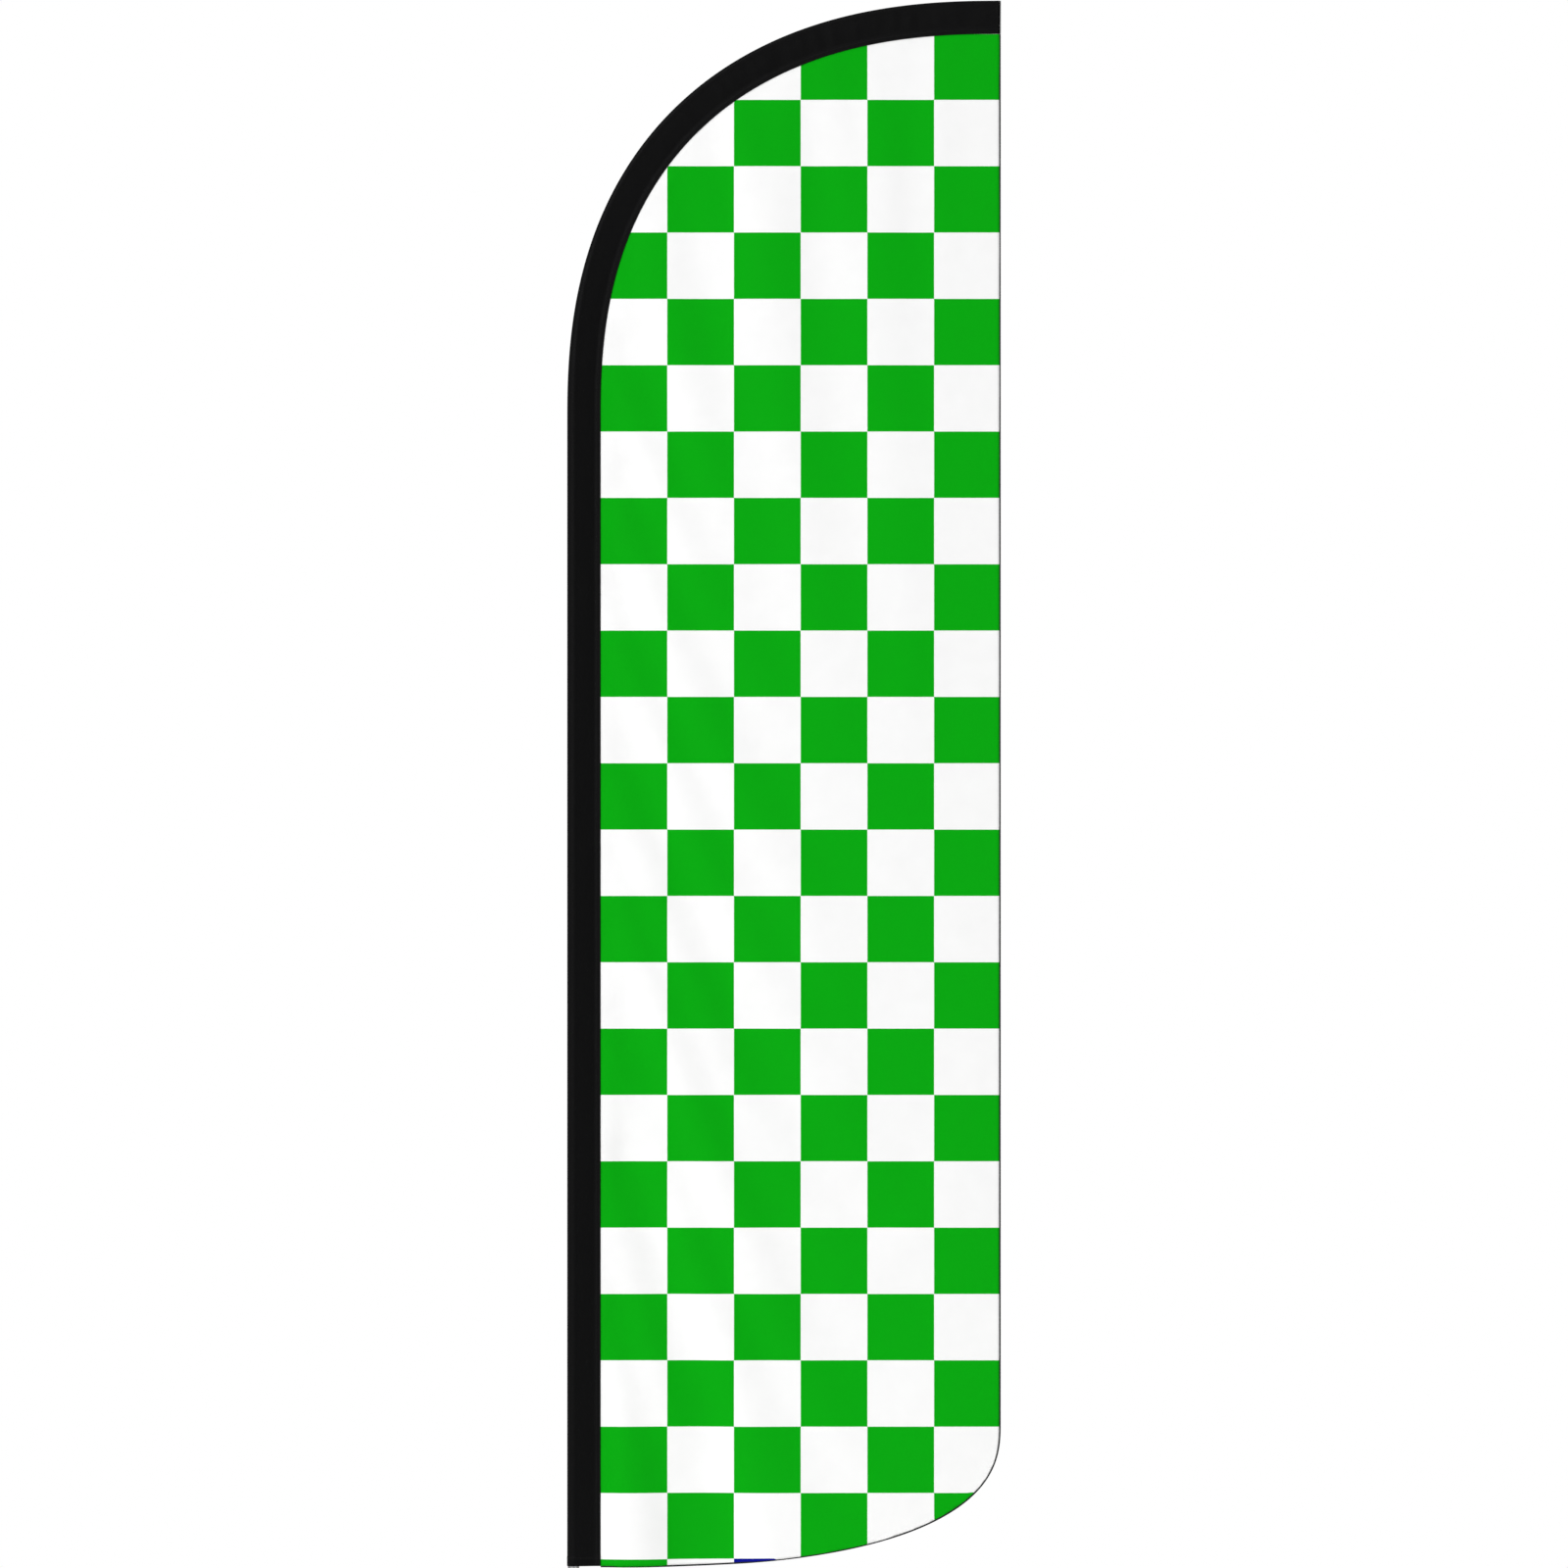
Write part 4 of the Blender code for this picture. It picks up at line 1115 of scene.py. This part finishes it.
def round_rectangle(low, high):
    """The plate's outline (x, y) with its round corners, anticlockwise."""
    centres = ((high.x, high.y, -1, -1), (low.x, high.y, 1, -1), (low.x, low.y, 1, 1), (high.x, low.y, -1, 1))
    points = []
    for turn, (x, y, side_x, side_y) in enumerate(centres):
        for step in range(PLATE_CORNER_STEPS + 1):
            angle = math.pi / 2 * (turn + step / PLATE_CORNER_STEPS)
            across = x + PLATE_CORNER * (side_x + math.cos(angle))
            points.append((across, y + PLATE_CORNER * (side_y + math.sin(angle))))
    return points


def plate():
    """The step plate: cut from bar, drilled for the spike, with its edges dressed."""
    low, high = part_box("step_plate")
    around = full_turn(PLATE_HOLE_SIDES)
    hole = [(SPIKE_HOLE * math.cos(angle), SPIKE_HOLE * math.sin(angle)) for angle in around]
    work = bmesh.new()
    edges = []
    for outline in (round_rectangle(low, high), hole):
        corners = [work.verts.new((x, y, low.z)) for x, y in outline]
        edges += [work.edges.new(pair) for pair in zip(corners, corners[1:] + corners[:1])]
    bmesh.ops.triangle_fill(work, use_beauty=True, edges=edges)
    raised = bmesh.ops.extrude_face_region(work, geom=work.faces[:])["geom"]
    corners = [item for item in raised if isinstance(item, bmesh.types.BMVert)]
    bmesh.ops.translate(work, verts=corners, vec=(0, 0, high.z - low.z))
    bmesh.ops.recalc_face_normals(work, faces=work.faces[:])
    mesh = bpy.data.meshes.new("dressed_plate")
    work.to_mesh(mesh)
    work.free()
    piece = placed(mesh, "step_plate")
    mesh.set_sharp_from_angle(angle=TURNED_SHARP)
    round_edges(piece, PLATE_ROUND)
    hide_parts("step_plate")


def housing():
    """The turned cup that holds both bearings."""
    low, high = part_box("bearing_housing")
    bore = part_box("outer_spacer")[1].x + FIT_GAP
    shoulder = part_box("lower_bearing_outer_ring")[0].z - SEAT_GAP
    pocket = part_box("retaining_ring")[1].y + 2 * RUN_GAP
    hole_top = low.z + SPIKE_HOLE_DEPTH
    floor_top = hole_top + HOUSING_FLOOR
    profile = [
        (0, floor_top),
        *stepped(floor_top, (pocket, shoulder), (bore, high.z)),
        (high.x - EDGE_CHAMFER, high.z),
        *stepped(high.z - EDGE_CHAMFER, (high.x, low.z + EDGE_CHAMFER)),
        (high.x - EDGE_CHAMFER, low.z),
        *stepped(low.z, (SPIKE_HOLE, hole_top)),
        (0, hole_top),
    ]
    turned("turned_housing", "bearing_housing", profile)


def cap():
    """The pressed-in ring over the bearings, round the spindle's neck."""
    low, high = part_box("housing_cap")
    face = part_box("bearing_housing")[1].z + SEAT_GAP
    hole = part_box("upper_bearing_inner_ring")[1].x - FIT_GAP + RUN_GAP
    spigot_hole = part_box("upper_bearing_top_seal")[1].x + FIT_GAP
    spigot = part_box("upper_bearing_outer_ring")[1].x
    walls = [(high.x, face), (spigot, low.z), (spigot_hole, face), (hole, high.z)]
    profile = [(high.x - EDGE_CHAMFER, high.z), *stepped(high.z - EDGE_CHAMFER, *walls)]
    turned("turned_cap", "housing_cap", profile)


def spindle():
    """The shaft in one piece: stub, flange, neck and journal, with grooves for its rings."""
    low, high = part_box("spindle")
    flange_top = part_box("bottom_bush")[0].z - SEAT_GAP
    bearing_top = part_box("upper_bearing_inner_ring")[1]
    clip_low, clip_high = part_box("retaining_ring")
    journal = clip_high.y - CLIP_REACH
    walls = []
    for ring in ("upper_o_ring", "lower_o_ring"):
        ring_low, ring_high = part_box(ring)
        walls.append((STUB_RADIUS, ring_high.z + SEAT_GAP))
        walls.append((STUB_RADIUS - (ring_high.z - ring_low.z), ring_low.z - SEAT_GAP))
    walls += [
        (STUB_RADIUS, flange_top),
        (high.x, flange_top - FLANGE_THICKNESS),
        (bearing_top.x - FIT_GAP, bearing_top.z + SEAT_GAP),
        (journal, clip_high.z + FIT_GAP),
        (journal - CLIP_GROOVE_DEPTH, clip_low.z - FIT_GAP),
        (journal, low.z),
    ]
    tip = [(0, high.z), (STUB_RADIUS - STUB_TIP / 2, high.z)]
    turned("turned_spindle", "spindle", [*tip, *stepped(high.z - STUB_TIP, *walls), (0, low.z)])


def o_rings():
    """The two rubber rings in the stub's grooves."""
    for node in ("lower_o_ring", "upper_o_ring"):
        low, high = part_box(node)
        cord = (high.z - low.z) / 2
        middle = (low.z + high.z) / 2
        around = -full_turn(O_RING_SIDES)
        profile = [(high.x - cord + cord * math.cos(a), middle + cord * math.sin(a)) for a in around]
        turned(f"round_{node}", node, profile, bevel=0)


def weld(name, node, height, size):
    """A fillet weld laid round a node's foot in overlapping scallops."""
    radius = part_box(node)[1].x
    steps = WELD_SCALLOPS * WELD_STEPS
    angles = full_turn(steps)
    x = np.cos(angles)
    y = np.sin(angles)
    swell = 1 - SCALLOP_DEPTH * (1 - abs(np.sin(WELD_SCALLOPS * angles / 2)))
    swell += WELD_UNEVENNESS * noise_at(x * 3, y * 3, height * 100)
    outward = np.column_stack([x, y, np.zeros(steps)])
    bead = (size * swell)[:, None]
    points = ring_points(radius * outward + height * UPWARD, bead * outward, bead * UPWARD, WELD_SIDES)
    mesh_piece(name, node, points, rows_of_faces(steps, WELD_SIDES, round_across=True, round_along=True))


def welds():
    plate_low, plate_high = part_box("step_plate")
    weld("housing_weld", "bearing_housing", plate_high.z + HOUSING_WELD_RISE, HOUSING_WELD)
    weld("spike_weld", "spike_rod", plate_low.z, SPIKE_WELD)


# ---- scene

FRAME_MARGIN = 1.0008
SENSOR = 36
LENS = 300
FLOOR_RADIUS = 13
FLOOR_GAP = 0.0005
FLOOR_SOLID = 1.5  # the radius out to which the floor doesn't fade
FLOOR_FADED = 0.9 * FLOOR_RADIUS
LEAST_LIGHT = 0.2  # of the surround, at the horizon and overhead
MOST_LIGHT = 0.75
PURE_WHITE = (1, 1, 1, 1)
LIT_POINT = Vector((0.45, 0, 2))


def camera():
    """Far off and straight in front, so that the flag shows without perspective and fills the frame."""
    lens = bpy.data.cameras.new("camera")
    lens.sensor_width = SENSOR
    lens.lens = LENS
    lens.clip_end = 300
    view = show(bpy.data.objects.new("camera", lens))
    away = FLAG_HEIGHT * FRAME_MARGIN * LENS / SENSOR
    view.location = ((LEADING_X + TRAILING_X) / 2, -away, (PANEL_BOTTOM + CROWN_TOP) / 2)
    view.rotation_euler = (math.pi / 2, 0, 0)
    bpy.context.scene.camera = view


def area_light(name, place, size, power):
    lamp = bpy.data.lights.new(name, "AREA")
    lamp.shape = "SQUARE"
    lamp.size = size
    lamp.energy = power
    light = show(bpy.data.objects.new(name, lamp))
    light.location = place
    light.rotation_euler = (LIT_POINT - Vector(place)).to_track_quat("-Z", "Y").to_euler()


def studio():
    """Soft lights round the flag and an even, pale surround that shows as white."""
    area_light("key", (-7, -9, 7), size=3, power=1150)
    area_light("fill", (9, -8, 3), size=6, power=110)
    area_light("back", (6, 9, 6), size=4, power=700)
    world = bpy.data.worlds.new("studio")
    world.use_nodes = True
    tree = world.node_tree
    tree.nodes.clear()
    sky = add_node(tree, "ShaderNodeTexCoord", {})["Generated"]
    height = add_node(tree, "ShaderNodeSeparateXYZ", {"Vector": sky})["Z"]
    light = {"Value": height, "To Min": LEAST_LIGHT, "To Max": MOST_LIGHT}
    rise = add_node(tree, "ShaderNodeMapRange", light)["Result"]
    lit, seen = (
        add_node(tree, "ShaderNodeBackground", {"Color": PURE_WHITE, "Strength": strength})["Background"]
        for strength in (rise, 1.0)
    )
    is_seen = add_node(tree, "ShaderNodeLightPath", {})["Is Camera Ray"]
    mixed = add_node(tree, "ShaderNodeMixShader", {0: is_seen, 1: lit, 2: seen})["Shader"]
    add_node(tree, "ShaderNodeOutputWorld", {"Surface": mixed})
    bpy.context.scene.world = world
    bpy.context.scene.view_settings.view_transform = "Standard"


def floor():
    """A plain pale floor under the spike's point, which fades out far from the flag."""
    spike_low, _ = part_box("spike_rod")
    bpy.ops.mesh.primitive_circle_add(vertices=96, radius=FLOOR_RADIUS, fill_type="NGON")
    ground = bpy.context.object
    ground.name = "floor"
    ground.location = (0, 0, spike_low.z - FLOOR_GAP)
    surface = Surface("pale_floor", roughness=0.6, specular=0.2)
    surface.paint(surface.noise(size=0.4), (0.78, 0.78, 0.77), (0.84, 0.84, 0.83))
    apart = surface.add("ShaderNodeVectorMath", {0: surface.places}, operation="LENGTH")["Value"]
    fade = {"Value": apart, "From Min": FLOOR_SOLID, "From Max": FLOOR_FADED, "To Min": 1.0, "To Max": 0.0}
    surface.link(surface.add("ShaderNodeMapRange", fade, interpolation_type="SMOOTHSTEP")["Result"], "Alpha")
    ground.data.materials.append(surface.material)


camera()
studio()
floor()
finish_frame_nodes()
panel, panel_area = flag_panel()
*edge_axes, edge_distances = free_edge_line(panel)
overlocked_band(*edge_axes)
overlock_loops(*edge_axes, edge_distances)
sleeve, strip_width = pole_sleeve()
tip_patch()
seam_stitches()
cross_stitches("mouth_hem_stitches", np.array(HEM_ROWS))
cross_stitches("tip_closing_stitches", PATH_LENGTH - np.array(TIP_ROWS))
for section in (1, 2, 3):
    pole_tube(section)
for build in (bush, ferrule, whip, whip_cap, spike, plate, housing, cap, spindle, o_rings, welds):
    build()
